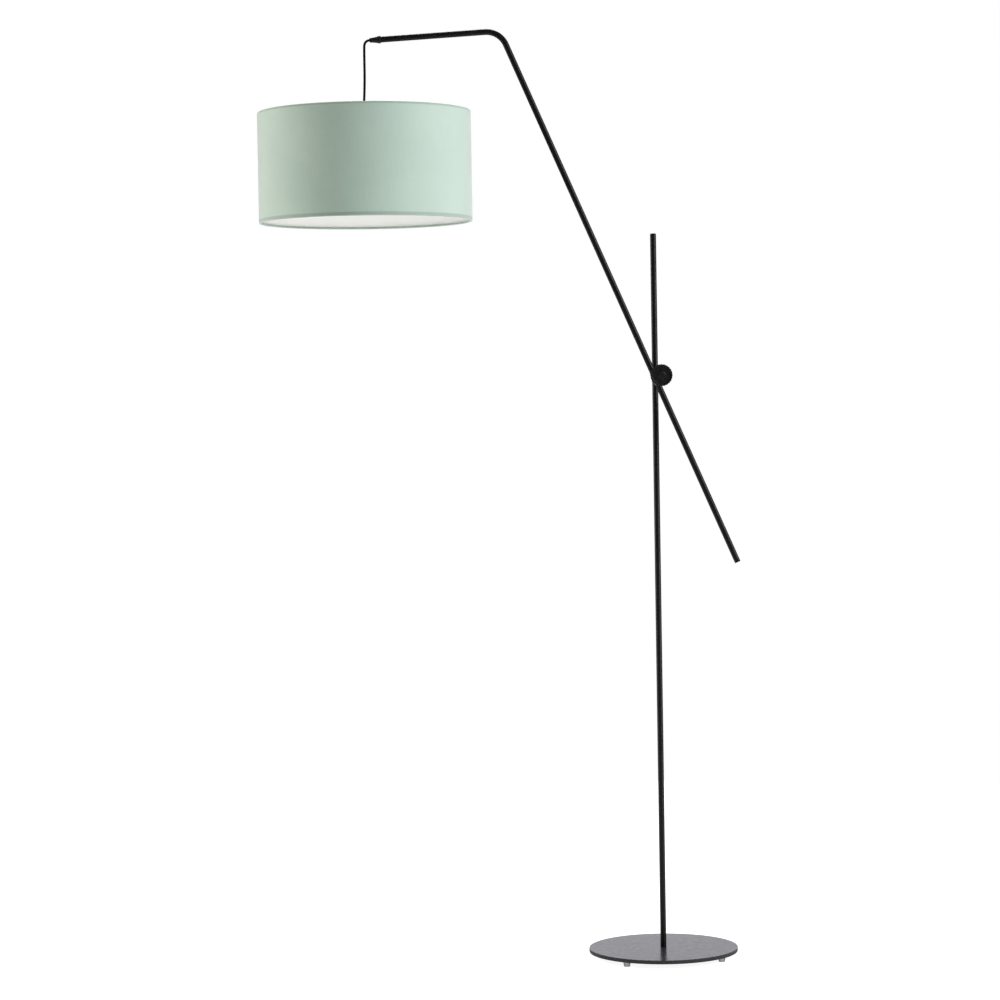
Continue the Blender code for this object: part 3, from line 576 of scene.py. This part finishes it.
def make_finishes():
    """One finish for each material slot of the record, and one for the plate's rim."""
    _, radius, low, high = upright("shade_cover")
    return {
        "black_paint": powder_coat(
            "black_powder_coat", grey(0.0066), grey(0.0092), grey(0.030), low_gloss=0.28,
            high_gloss=0.36, grain=900, depth=0.000010, specular=0.09),
        "plate_paint": powder_coat(
            "plate_powder_coat", (0.021, 0.0200, 0.0245), (0.027, 0.0260, 0.0310),
            (0.10, 0.10, 0.105), low_gloss=0.22, high_gloss=0.26, grain=620, depth=0.000004,
            specular=0.55),
        "plate_rim": powder_coat(
            "rim_powder_coat", (0.027, 0.0265, 0.030), (0.033, 0.0325, 0.036),
            (0.10, 0.10, 0.105), low_gloss=0.48, high_gloss=0.58, grain=620, depth=0.000010,
            specular=0.06),
        "black_casting": powder_coat(
            "casting_powder_coat", (0.0050, 0.0050, 0.0052), (0.0080, 0.0080, 0.0083),
            (0.040, 0.040, 0.041), low_gloss=0.42, high_gloss=0.55, grain=1300, depth=0.00002,
            specular=0.20),
        "black_plastic": moulded("black_plastic", grey(0.0050), grey(0.0085), 0.42, 0.54,
                                 depth=0.00001, specular=0.22),
        "nylon": moulded("grey_nylon", grey(0.10), (0.14, 0.14, 0.135), 0.38, 0.50),
        "fibre": moulded("red_fibre", (0.24, 0.075, 0.05), (0.33, 0.12, 0.08), 0.70, 0.85,
                         grain=900, depth=0.00006),
        "steel": metal("zinc_plated_steel", (0.50, 0.50, 0.49), (0.68, 0.68, 0.67), 0.24, 0.42,
                       lines=2600),
        "nickel": metal("nickel_plate", (0.62, 0.60, 0.56), (0.76, 0.74, 0.70), 0.14, 0.28,
                        lines=1800),
        "brass": metal("brass", (0.58, 0.42, 0.18), (0.76, 0.58, 0.28), 0.22, 0.38, lines=1800),
        "ceramic": moulded("white_ceramic", (0.82, 0.81, 0.78), (0.76, 0.75, 0.71), 0.16, 0.28,
                           grain=700, depth=0.00003),
        "clear_bumper": clear_rubber(),
        "black_cord": flex_sheath(),
        "white_wire": moulded("white_wire_paint", (0.84, 0.84, 0.82), (0.78, 0.78, 0.75), 0.30,
                              0.44, grain=1100, depth=0.00004),
        "mint_fabric": shade_fabric(radius, low, high),
        "white_lining": shade_backing(),
        "white_plastic": moulded("white_plastic", (0.84, 0.84, 0.83), (0.79, 0.79, 0.77), 0.30,
                                 0.42, grain=1600),
        "opal": moulded("opal_diffuser", (0.92, 0.92, 0.90), (0.88, 0.88, 0.85), 0.26, 0.38,
                        grain=1200, depth=0.00001),
    }


def dress(item, nodes, place=None):
    """Puts a fine piece in place of its CAD nodes, with their body, slot and finish."""
    nodes = [nodes] if isinstance(nodes, str) else nodes
    if place is not None:
        item.matrix_world = place
    item.data.materials.clear()
    item.data.materials.append(FINISHES[SLOT_OF[nodes[0]]])
    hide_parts(*nodes)
    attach(item, BODY_OF[nodes[0]])
    return item


# ---- the cord ----------------------------------------------------------------------------------
def make_cord():
    """The flex, from just inside the strain relief to just inside the cord grip."""
    route = [CORD_EXIT + Vector((across, 0, up)) for across, up in CORD_ROUTE]
    start = CORD_EXIT - ARM_TOP_AXIS * IN_RELIEF
    end = GRIP - Vector((0, 0, IN_GRIP))
    path = smooth_path([start, *route, end], 6)
    cord = swept("pendant_flex", rod_sections(path, CORD_RADIUS, 0.0004), 24)
    cord.data.materials.append(FINISHES["black_cord"])
    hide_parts("pendant_cord")
    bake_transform(cord)


# ---- base and pole -----------------------------------------------------------------------------
def make_base():
    axis, radius, low, high = upright("base_plate")
    plate = soften([(radius, high), (radius, low), (0.0086, low), (0.0044, low + 0.0042),
                    (0.0044, high)], 0.0004, closed=True, steps=5)
    disc = dress(turned("round_plate", plate, 288, closed=True), "base_plate",
                 Matrix.Translation(axis))
    disc.data.materials.append(FINISHES["plate_rim"])
    for face in disc.data.polygons:
        if face.center.xy.length > radius - RIM_DEPTH and abs(face.normal.z) < RIM_SLOPE:
            face.material_index = 1

    for index in range(1, 5):
        axis, radius, low, high = upright(f"base_foot_{index}")
        foot = soften([(0, high), (radius, high), (radius, high - 0.0008),
                       (FOOT_BOTTOM_RADIUS, low),
                       (0.0030, low), (0.0024, low + 0.0010), (0, low + 0.0010)], 0.0007)
        dress(turned(f"bumper_foot_{index}", foot, 64), f"base_foot_{index}",
              Matrix.Translation(axis))

    axis, radius, low, high = upright("pole_tube")
    bore = radius - TUBE_WALL
    tube = soften([(radius, high), (radius, low), (bore, low), (bore, high)], 0.0004, closed=True)
    dress(turned("pole", tube, 72, closed=True), "pole_tube", Matrix.Translation(axis))

    axis, radius, low, high = upright("pole_end_cap")
    seat = high - 0.0023
    cap = soften([(0, high), (0.0040, high - 0.0001), (0.0056, high - 0.0008),
                  (radius, high - 0.0017), (radius, seat), (bore - 0.0002, seat),
                  (bore - 0.0002, low), (0, low)], 0.0005)
    dress(turned("pole_cap", cap, 72), "pole_end_cap", Matrix.Translation(axis))

    axis, radius, low, high = upright("base_bolt")
    shank = 0.0040
    bolt = soften([(0, high), (shank, high), (shank, low + 0.0042), (radius, low + 0.0005),
                   (radius, low), (0, low)], 0.0004)
    screw = turned("plate_bolt", bolt, 64)
    socket = turned("socket", [(0, 0.003), (SOCKET_RADIUS, 0.003), (SOCKET_RADIUS, -0.001),
                               (0, -0.001)], 6)
    socket.matrix_world = Matrix.Translation((0, 0, low))
    dress(combined(screw, socket, "DIFFERENCE"), "base_bolt", Matrix.Translation(axis))


# ---- clamp -------------------------------------------------------------------------------------
def make_jaw(name, node, axis_point, direction):
    """A fine disc with a groove for its tube, which runs along direction through axis_point."""
    low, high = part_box(node)
    radius = (high.z - low.z) / 2
    front, back = -low.y, -high.y
    profile = soften([(radius, front), (radius, back), (BOLT_HOLE_RADIUS, back),
                      (BOLT_HOLE_RADIUS, front)], 0.0008, closed=True)
    jaw = turned(name, profile, 128, closed=True)
    jaw.matrix_world = towards_knob(BOLT)
    reach = 0.03
    cutter = turned("groove", [(0, reach), (GROOVE_RADIUS, reach), (GROOVE_RADIUS, -reach),
                               (0, -reach)], 64)
    cutter.matrix_world = (Matrix.Translation(axis_point)
                           @ direction.to_track_quat("Z", "Y").to_matrix().to_4x4())
    combined(jaw, cutter, "DIFFERENCE")
    dress(jaw, node)


def make_clamp():
    pole_axis = upright("pole_tube")[0]
    pole_point = Vector((pole_axis.x, pole_axis.y, BOLT.z))
    arm_axis_point = arm_point(-ARM_OFFSET, 0)
    up = Vector((0, 0, 1))
    make_jaw("rear_pole_jaw", "pole_jaw_rear", pole_point, up)
    make_jaw("front_pole_jaw", "pole_jaw_front", pole_point, up)
    make_jaw("rear_arm_jaw", "arm_jaw_rear", arm_axis_point, ARM_UP)
    make_jaw("front_arm_jaw", "arm_jaw_front", arm_axis_point, ARM_UP)
    for name, node in (("fibre_washer", "friction_washer"), ("steel_washer", "thrust_washer")):
        low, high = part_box(node)
        profile = soften([((high.x - low.x) / 2, -low.y), ((high.x - low.x) / 2, -high.y),
                          (BOLT_HOLE_RADIUS, -high.y), (BOLT_HOLE_RADIUS, -low.y)],
                         0.0003, closed=True)
        dress(turned(name, profile, 96, closed=True), node, towards_knob(BOLT))


# ---- knob --------------------------------------------------------------------------------------
def make_knob():
    low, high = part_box("clamp_knob")
    radius, front, hub_back = (high.z - low.z) / 2, -low.y, -high.y
    back = front - 0.0131
    hub, hole = 0.0095, 0.0031
    recess_in, recess_out, floor = 0.0088, radius - 0.0038, front - RECESS_DEPTH
    face = [(0, front - 0.0030), (CAP_RADIUS + 0.0002, front - 0.0030),
            (CAP_RADIUS + 0.0002, front), (recess_in, front), (recess_in + 0.0004, floor),
            (recess_out - 0.0004, floor), (recess_out, front), (radius, front), (radius, back),
            (hub, back), (hub, hub_back), (hole, hub_back), (hole, front - 0.0045),
            (0, front - 0.0045)]
    profile = subdivided(soften(face, 0.0008, steps=5), 0.0012)

    def shape(angle, out, up):
        if out > radius - 0.0012:
            flute = (0.5 - 0.5 * math.cos(KNOB_FLUTES * angle)) ** 2
            return out - KNOB_FLUTE_DEPTH * flute, up
        if recess_in < out < recess_out and up > floor - 0.0001:
            sector = math.tau / KNOB_RIBS
            turn = (angle - math.pi / 2 + sector / 2) % sector - sector / 2
            aside = abs(out * math.sin(turn))
            share = min(1, max(0, (KNOB_RIB_HALF + 0.0005 - aside) / 0.0005))
            share = share * share * (3 - 2 * share)
            return out, max(up, floor + (front - 0.0004 - floor) * share)
        return out, up

    dress(turned("knob", profile, 384, shape=shape), "clamp_knob", towards_knob(BOLT))

    low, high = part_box("knob_cap")
    top, bottom = -low.y, -high.y
    cap = soften([(0, top - 0.0003), (0.0030, top - 0.0002), (CAP_RADIUS - 0.0012, top),
                  (CAP_RADIUS, top - 0.0006), (CAP_RADIUS, bottom), (0, bottom)], 0.0004)
    dress(turned("knob_centre_cap", cap, 96), "knob_cap", towards_knob(BOLT))


# ---- arm ---------------------------------------------------------------------------------------
def arm_sections(radius, first_edge, last_edge):
    """Sections of the arm from its lower end to its tip, at one radius."""
    setback = ARM_BEND_RADIUS * math.tan(ARM_TURN / 2)
    bend_steps = 36
    sections = [(arm_point(-ARM_OFFSET, -ARM_LOWER), ARM_UP, radius - first_edge),
                (arm_point(-ARM_OFFSET, -ARM_LOWER + first_edge), ARM_UP, radius)]
    for index in range(bend_steps + 1):
        angle = ARM_TURN * index / bend_steps
        across = -ARM_OFFSET - ARM_BEND_RADIUS * (1 - math.cos(angle))
        along = ARM_UPPER - setback + ARM_BEND_RADIUS * math.sin(angle)
        tangent = ARM_UP * math.cos(angle) - ARM_ACROSS * math.sin(angle)
        sections.append((arm_point(across, along), tangent, radius))
    tip = arm_point(-ARM_OFFSET - ARM_TOP * math.sin(ARM_TURN),
                    ARM_UPPER + ARM_TOP * math.cos(ARM_TURN))
    sections.append((tip - ARM_TOP_AXIS * last_edge, ARM_TOP_AXIS, radius))
    sections.append((tip, ARM_TOP_AXIS, radius - last_edge))
    return sections


def make_arm():
    edge = 0.0003
    outer = arm_sections(TUBE_RADIUS, edge, edge)
    inner = arm_sections(TUBE_RADIUS - TUBE_WALL, 0, 0)
    inner = [inner[0], *inner[2:-2], inner[-1]]
    dress(swept("arm", outer + inner[::-1], 56, closed=True), "arm_tube")

    end = Matrix.Translation(arm_point(-ARM_OFFSET, -ARM_LOWER))
    down = end @ (-ARM_UP).to_track_quat("Z", "Y").to_matrix().to_4x4()
    plug = TUBE_RADIUS - TUBE_WALL - 0.0002
    bush = soften([(0.0056, 0.0026), (TUBE_RADIUS, 0.0018), (TUBE_RADIUS, 0.0003),
                   (plug, 0.0003), (plug, -0.010), (0.0032, -0.010), (0.0032, 0.0016),
                   (0.0038, 0.0026)], 0.0005, closed=True)
    dress(turned("cable_bush", bush, 72, closed=True), "arm_cable_bush", down)

    tip = Matrix.Translation(CORD_EXIT - ARM_TOP_AXIS * RELIEF_LENGTH)
    along = tip @ ARM_TOP_AXIS.to_track_quat("Z", "Y").to_matrix().to_4x4()
    length = RELIEF_LENGTH
    relief = soften([(0.0044, length), (0.0048, length - 0.0008), (0.0055, length - 0.0080),
                     (0.0066, 0.0095), (0.0078, 0.0048), (0.0080, 0.0034), (0.0077, 0.0010),
                     (0.0068, 0.0003), (plug, 0.0003), (plug, -0.012), (0.0029, -0.012),
                     (0.0029, length - 0.0036), (0.0033, length - 0.0014), (0.0039, length)],
                    0.0006, closed=True)
    dress(turned("strain_relief", relief, 72, closed=True), "cord_strain_relief", along)


# ---- pendant -----------------------------------------------------------------------------------
def thread(pitch, depth, low, high, least):
    """A shape that cuts a round thread into the outer side between two heights."""
    def shape(angle, out, up):
        if out < least or not low < up < high:
            return out, up
        fade = min(1, (up - low) / pitch, (high - up) / pitch)
        wave = 0.5 - 0.5 * math.cos(math.tau * (up / pitch - angle / math.tau))
        return out - depth * wave * fade, up
    return shape


def make_lampholder():
    axis, radius, low, high = upright("cord_grip")
    step = high - 0.0095
    grip = soften([(0.0044, high), (0.0052, high - 0.0008), (0.0060, high - 0.0040),
                   (radius, step), (0.0045, step), (0.0045, low), (0.0029, low),
                   (0.0029, high - 0.0032), (0.0037, high)], 0.0004, closed=True)
    dress(turned("flex_grip", grip, 64, closed=True), "cord_grip", Matrix.Translation(axis))

    ring_axis, ring, ring_low, ring_high = upright("cord_seal_ring")
    seal = soften([(ring, ring_high), (ring, ring_low), (0.0032, ring_low), (0.0032, ring_high)],
                  0.0004, closed=True)
    dress(turned("flex_seal_ring", seal, 64, closed=True), "cord_seal_ring",
          Matrix.Translation(ring_axis))

    axis, radius, low, high = upright("lampholder_cap")
    cap = soften([(0.0090, high), (0.0135, high - 0.0015), (0.0176, high - 0.0060),
                  (0.0193, high - 0.0127), (radius, low), (0.0178, low), (0.0176, low + 0.0106),
                  (0.0160, high - 0.0074), (0.0125, high - 0.0036), (0.0090, high - 0.0022),
                  (0.0047, high - 0.0022), (0.0047, high)], 0.0016, closed=True)
    dress(turned("holder_cap", cap, 96, closed=True), "lampholder_cap", Matrix.Translation(axis))

    axis, radius, low, high = upright("lampholder_body")
    body = soften([(0, high), (radius, high), (radius, low), (0.0152, low), (0.0150, high - 0.0046),
                   (0, high - 0.0046)], 0.0008)
    skirt = thread(SKIRT_PITCH, SKIRT_DEPTH, low + 0.0015, high - 0.0030, radius - 0.0001)
    dress(turned("holder_skirt", subdivided(body, 0.0004), 96, shape=skirt), "lampholder_body",
          Matrix.Translation(axis))

    def grips(angle, out, up):
        if out < 0.0262:
            return out, up
        return out - NUT_GRIP_DEPTH * max(0.0, math.cos(NUT_GRIPS * angle)) ** 2, up

    for name, node in (("upper_ring_nut", "shade_collar_upper"),
                       ("lower_ring_nut", "shade_collar_lower")):
        axis, radius, low, high = upright(node)
        bore = upright("lampholder_body")[1] + 0.0003
        collar = soften([(radius, high), (radius, low), (bore, low), (bore, high)], 0.0009,
                        closed=True)
        dress(turned(name, collar, 216, closed=True, shape=grips), node,
              Matrix.Translation(axis))


def make_bulb():
    axis, radius, low, high = upright("bulb_screw_cap")
    base = high - 0.0052
    cap = soften([(0, high), (0.0045, high), (0.0055, high - 0.0017), (0.0118, high - 0.0037),
                  (radius, base), (radius, low), (0, low)], 0.0006)
    screw = thread(SCREW_PITCH, SCREW_DEPTH, low + 0.0012, base - 0.0004, radius - 0.0002)
    dress(turned("bulb_cap", subdivided(cap, 0.0004), 96, shape=screw), "bulb_screw_cap",
          Matrix.Translation(axis))

    axis, radius, low, high = upright("bulb_globe")
    middle = low + radius
    neck = math.asin((high - middle) / radius)
    steps = 40
    wall = 0.0012
    outer = [(radius * math.cos(neck - (neck + math.pi / 2) * i / steps),
              middle + radius * math.sin(neck - (neck + math.pi / 2) * i / steps))
             for i in range(steps)]
    inner = [((radius - wall) / radius * out, middle + (up - middle) * (radius - wall) / radius)
             for out, up in reversed(outer)]
    globe = [(0, low + wall), *inner, *outer, (0, low)]
    dress(turned("bulb_diffuser", globe, 96), "bulb_globe", Matrix.Translation(axis))
    neck_radius = outer[0][0]

    axis, radius, low, high = upright("bulb_housing")
    housing = soften([(0, high), (0.0136, high), (0.0146, high - 0.0050), (0.0176, high - 0.0170),
                      (neck_radius - 0.0002, low), (0, low)], 0.0010)
    dress(turned("bulb_collar", housing, 96), "bulb_housing", Matrix.Translation(axis))


def make_spider():
    axis = upright("shade_cover")[0]
    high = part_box("shade_spider")[1].z
    ring_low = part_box("shade_collar_lower")[1].z + 0.0003
    ring_high = ring_low + 0.0032
    hole, rim = 0.0206, 0.0255
    ring = soften([(rim, ring_high), (rim, ring_low), (hole, ring_low), (hole, ring_high)],
                  0.0006, closed=True)
    spider = turned("wire_spider", ring, 96, closed=True)
    spider.matrix_world = Matrix.Translation(axis)
    level = (ring_low + ring_high) / 2
    wire_height = high - WIRE_RADIUS
    route = [(0.0232, level), (0.110, level), (0.140, level + 0.0006), (0.165, level + 0.0031),
             (0.187, level + 0.0095), (0.200, level + 0.0156), (0.208, wire_height - 0.0050),
             (0.2140, wire_height - 0.0008), (0.2204, wire_height)]
    path = smooth_path([Vector((out, 0, up)) for out, up in route], 6)
    for index in range(SPIDER_WIRES):
        rod = swept("rod", rod_sections(path, WIRE_RADIUS, 0.0003), 20)
        turn = Matrix.Rotation(math.tau * index / SPIDER_WIRES + math.pi / 2, 4, "Z")
        rod.matrix_world = Matrix.Translation(axis) @ turn
        combined(spider, rod, "UNION")
    dress(spider, "shade_spider")

    for name, node in (("top_wire", "shade_top_wire"), ("bottom_wire", "shade_bottom_wire")):
        axis, radius, low, high = upright(node)
        middle, centre = (low + high) / 2, radius - WIRE_RADIUS
        profile = [(centre + WIRE_RADIUS * math.cos(math.tau * i / 12),
                    middle - WIRE_RADIUS * math.sin(math.tau * i / 12)) for i in range(12)]
        dress(turned(name, profile, 256, closed=True), node, Matrix.Translation(axis))


def roll(centre, middle, radius, first, last, steps=12):
    """Points round a rolled edge, from one angle to another."""
    return [Vector((centre + radius * math.cos(first + (last - first) * i / steps),
                    middle + radius * math.sin(first + (last - first) * i / steps)))
            for i in range(steps + 1)]


def thickened(line, thickness):
    """A closed outline round an open line."""
    left, right = [], []
    for index, point in enumerate(line):
        ahead = line[min(index + 1, len(line) - 1)] - line[max(index - 1, 0)]
        normal = Vector((ahead.y, -ahead.x)).normalized() * thickness / 2
        left.append(point + normal)
        right.append(point - normal)
    return left + right[::-1]


def seam_shape(angle, out, up):
    """The laps of the drum's glued seam: a flat strip one cloth proud of the rest."""
    aside = (angle - SEAM_ANGLE + math.pi) % math.tau - math.pi
    distance = abs(aside) * out - SEAM_WIDTH / 2
    share = min(1, max(0, 0.5 - distance / 0.0010))
    return out + 0.0003 * share * share * (3 - 2 * share), up


def make_shade():
    axis, radius, low, high = upright("shade_cover")
    wall = radius - CLOTH / 2 - 0.0003
    wire = upright("shade_top_wire")[1] - WIRE_RADIUS
    bead = (wall - wire + WIRE_RADIUS + CLOTH / 2 + 0.0001) / 2
    centre = wall - bead
    top, bottom = high - CLOTH / 2 - bead, low + CLOTH / 2 + bead
    line = (roll(centre, top, bead, math.radians(250), 0, 20)
            + [Vector((wall, top - 0.003 - (top - bottom - 0.006) * i / 24)) for i in range(25)]
            + roll(centre, bottom, bead, 0, math.radians(-250), 20))
    cover = turned("drum_fabric", thickened(line, CLOTH), 384, closed=True, shape=seam_shape)
    dress(cover, "shade_cover", Matrix.Translation(axis))

    axis, radius, low, high = upright("shade_lining")
    backing = soften([(radius, high), (radius, low), (radius - 0.0004, low),
                      (radius - 0.0004, high)], 0.0001, closed=True, steps=2)
    dress(turned("drum_backing", subdivided(backing, 0.02), 256, closed=True), "shade_lining",
          Matrix.Translation(axis))


# ---- stage -------------------------------------------------------------------------------------
def make_world():
    """White to the eye, and a studio to the lamp: dim all round, bright low at the back, and
    lit from overhead."""
    world = bpy.data.worlds.new("studio")
    bpy.context.scene.world = world
    world.use_nodes = True
    tree = world.node_tree

    def ranged(value, low, high, to_low=0.0, to_high=1.0, kind="SMOOTHSTEP"):
        node = tree.nodes.new("ShaderNodeMapRange")
        node.interpolation_type = kind
        node.inputs["From Min"].default_value = low
        node.inputs["From Max"].default_value = high
        node.inputs["To Min"].default_value = to_low
        node.inputs["To Max"].default_value = to_high
        tree.links.new(value, node.inputs["Value"])
        return node.outputs["Result"]

    def maths(operation, first, second):
        node = tree.nodes.new("ShaderNodeMath")
        node.operation = operation
        tree.links.new(first, node.inputs[0])
        tree.links.new(second, node.inputs[1])
        return node.outputs[0]

    split = tree.nodes.new("ShaderNodeSeparateXYZ")
    tree.links.new(tree.nodes.new("ShaderNodeTexCoord").outputs["Generated"], split.inputs[0])
    behind, height = split.outputs["Y"], split.outputs["Z"]
    low_band = maths("MULTIPLY", ranged(height, -0.02, 0.10), ranged(height, 0.65, 0.2))
    glow = maths("MULTIPLY", ranged(behind, 0.94, 0.985), low_band)
    strength = maths("ADD", ranged(glow, 0.0, 1.0, FRONT_FILL, BACK_GLOW, "LINEAR"),
                     ranged(height, 0.75, 0.92, 0.0, OVERHEAD))
    tint = tree.nodes.new("ShaderNodeMix")
    tint.data_type = "RGBA"
    colours = [socket for socket in tint.inputs if socket.type == "RGBA"]
    colours[0].default_value = (1.0, 1.0, 0.96, 1)
    colours[1].default_value = (0.955, 0.94, 1.0, 1)
    tinted = [socket for socket in tint.outputs if socket.type == "RGBA"][0]
    tree.links.new(glow, tint.inputs["Factor"])

    background = tree.nodes["Background"]
    tree.links.new(tinted, background.inputs["Color"])
    tree.links.new(strength, background.inputs["Strength"])
    seen = tree.nodes.new("ShaderNodeBackground")
    seen.inputs["Color"].default_value = (1, 1, 1, 1)
    seen.inputs["Strength"].default_value = 1.0
    path = tree.nodes.new("ShaderNodeLightPath")
    mix = tree.nodes.new("ShaderNodeMixShader")
    tree.links.new(path.outputs["Is Camera Ray"], mix.inputs[0])
    tree.links.new(background.outputs[0], mix.inputs[1])
    tree.links.new(seen.outputs[0], mix.inputs[2])
    tree.links.new(mix.outputs[0], tree.nodes["World Output"].inputs["Surface"])


def make_floor():
    """A white floor that glows a little, and that is clear from below."""
    mesh = bpy.data.meshes.new("floor")
    shape = bmesh.new()
    bmesh.ops.create_circle(shape, cap_ends=True, segments=96, radius=FLOOR_RADIUS)
    shape.to_mesh(mesh)
    shape.free()
    floor = bpy.data.objects.new("floor", mesh)
    bpy.context.scene.collection.objects.link(floor)
    material = bpy.data.materials.new("floor")
    material.use_nodes = True
    tree = material.node_tree
    shader = tree.nodes["Principled BSDF"]
    shader.inputs["Base Color"].default_value = (0.50, 0.50, 0.50, 1)
    shader.inputs["Roughness"].default_value = 0.9
    shader.inputs["Specular IOR Level"].default_value = 0.0
    shader.inputs["Emission Color"].default_value = (1, 1, 1, 1)
    shader.inputs["Emission Strength"].default_value = FLOOR_GLOW
    clear = tree.nodes.new("ShaderNodeBsdfTransparent")
    mix = tree.nodes.new("ShaderNodeMixShader")
    geometry = tree.nodes.new("ShaderNodeNewGeometry")
    tree.links.new(geometry.outputs["Backfacing"], mix.inputs[0])
    tree.links.new(shader.outputs[0], mix.inputs[1])
    tree.links.new(clear.outputs[0], mix.inputs[2])
    tree.links.new(mix.outputs[0], tree.nodes["Material Output"].inputs["Surface"])
    mesh.materials.append(material)


def make_light(name, azimuth, distance, height, size, power, colour):
    """A soft box that faces the lamp."""
    data = bpy.data.lights.new(name, "AREA")
    data.shape = "RECTANGLE"
    data.size, data.size_y = size
    data.energy = power
    data.color = colour
    light = bpy.data.objects.new(name, data)
    bpy.context.scene.collection.objects.link(light)
    angle = math.radians(azimuth)
    place = Vector((math.sin(angle) * distance, -math.cos(angle) * distance, height))
    turn = (LIGHTS_AIM - place).to_track_quat("-Z", "Y").to_matrix().to_4x4()
    light.matrix_world = Matrix.Translation(place) @ turn
    return light


def pieces_with(finish):
    """A collection of the pieces that have one finish, for a light that reaches only those."""
    pieces = bpy.data.collections.new(finish)
    for item in bpy.context.scene.objects:
        if item.type == "MESH" and FINISHES[finish] in item.data.materials[:]:
            pieces.objects.link(item)
    return pieces


def make_linked_lights():
    """Two low panels that show only as lines of gloss down the sides of the painted tubes, and
    a low fill that stands for the daylight inside the shade."""
    painted = pieces_with("black_paint")
    for facts in TUBE_PANELS:
        panel = make_light(*facts)
        panel.visible_diffuse = False
        panel.light_linking.receiver_collection = painted
    fill = make_light(*LINING_FILL)
    fill.visible_camera = False
    fill.light_linking.receiver_collection = pieces_with("white_lining")


def make_stage():
    make_world()
    make_floor()
    for facts in SOFT_BOXES:
        make_light(*facts)
    make_linked_lights()
    scene = bpy.context.scene
    scene.view_settings.view_transform = "Standard"
    scene.view_settings.look = "None"


# ---- the whole lamp ----------------------------------------------------------------------------
make_camera()
FINISHES = make_finishes()
make_cord()
for node, part in frame["nodes"].items():
    part.data.materials.clear()
    part.data.materials.append(FINISHES[SLOT_OF[node]])
make_base()
make_clamp()
make_knob()
make_arm()
make_lampholder()
make_bulb()
make_spider()
make_shade()
make_stage()

bpy.context.view_layer.update()
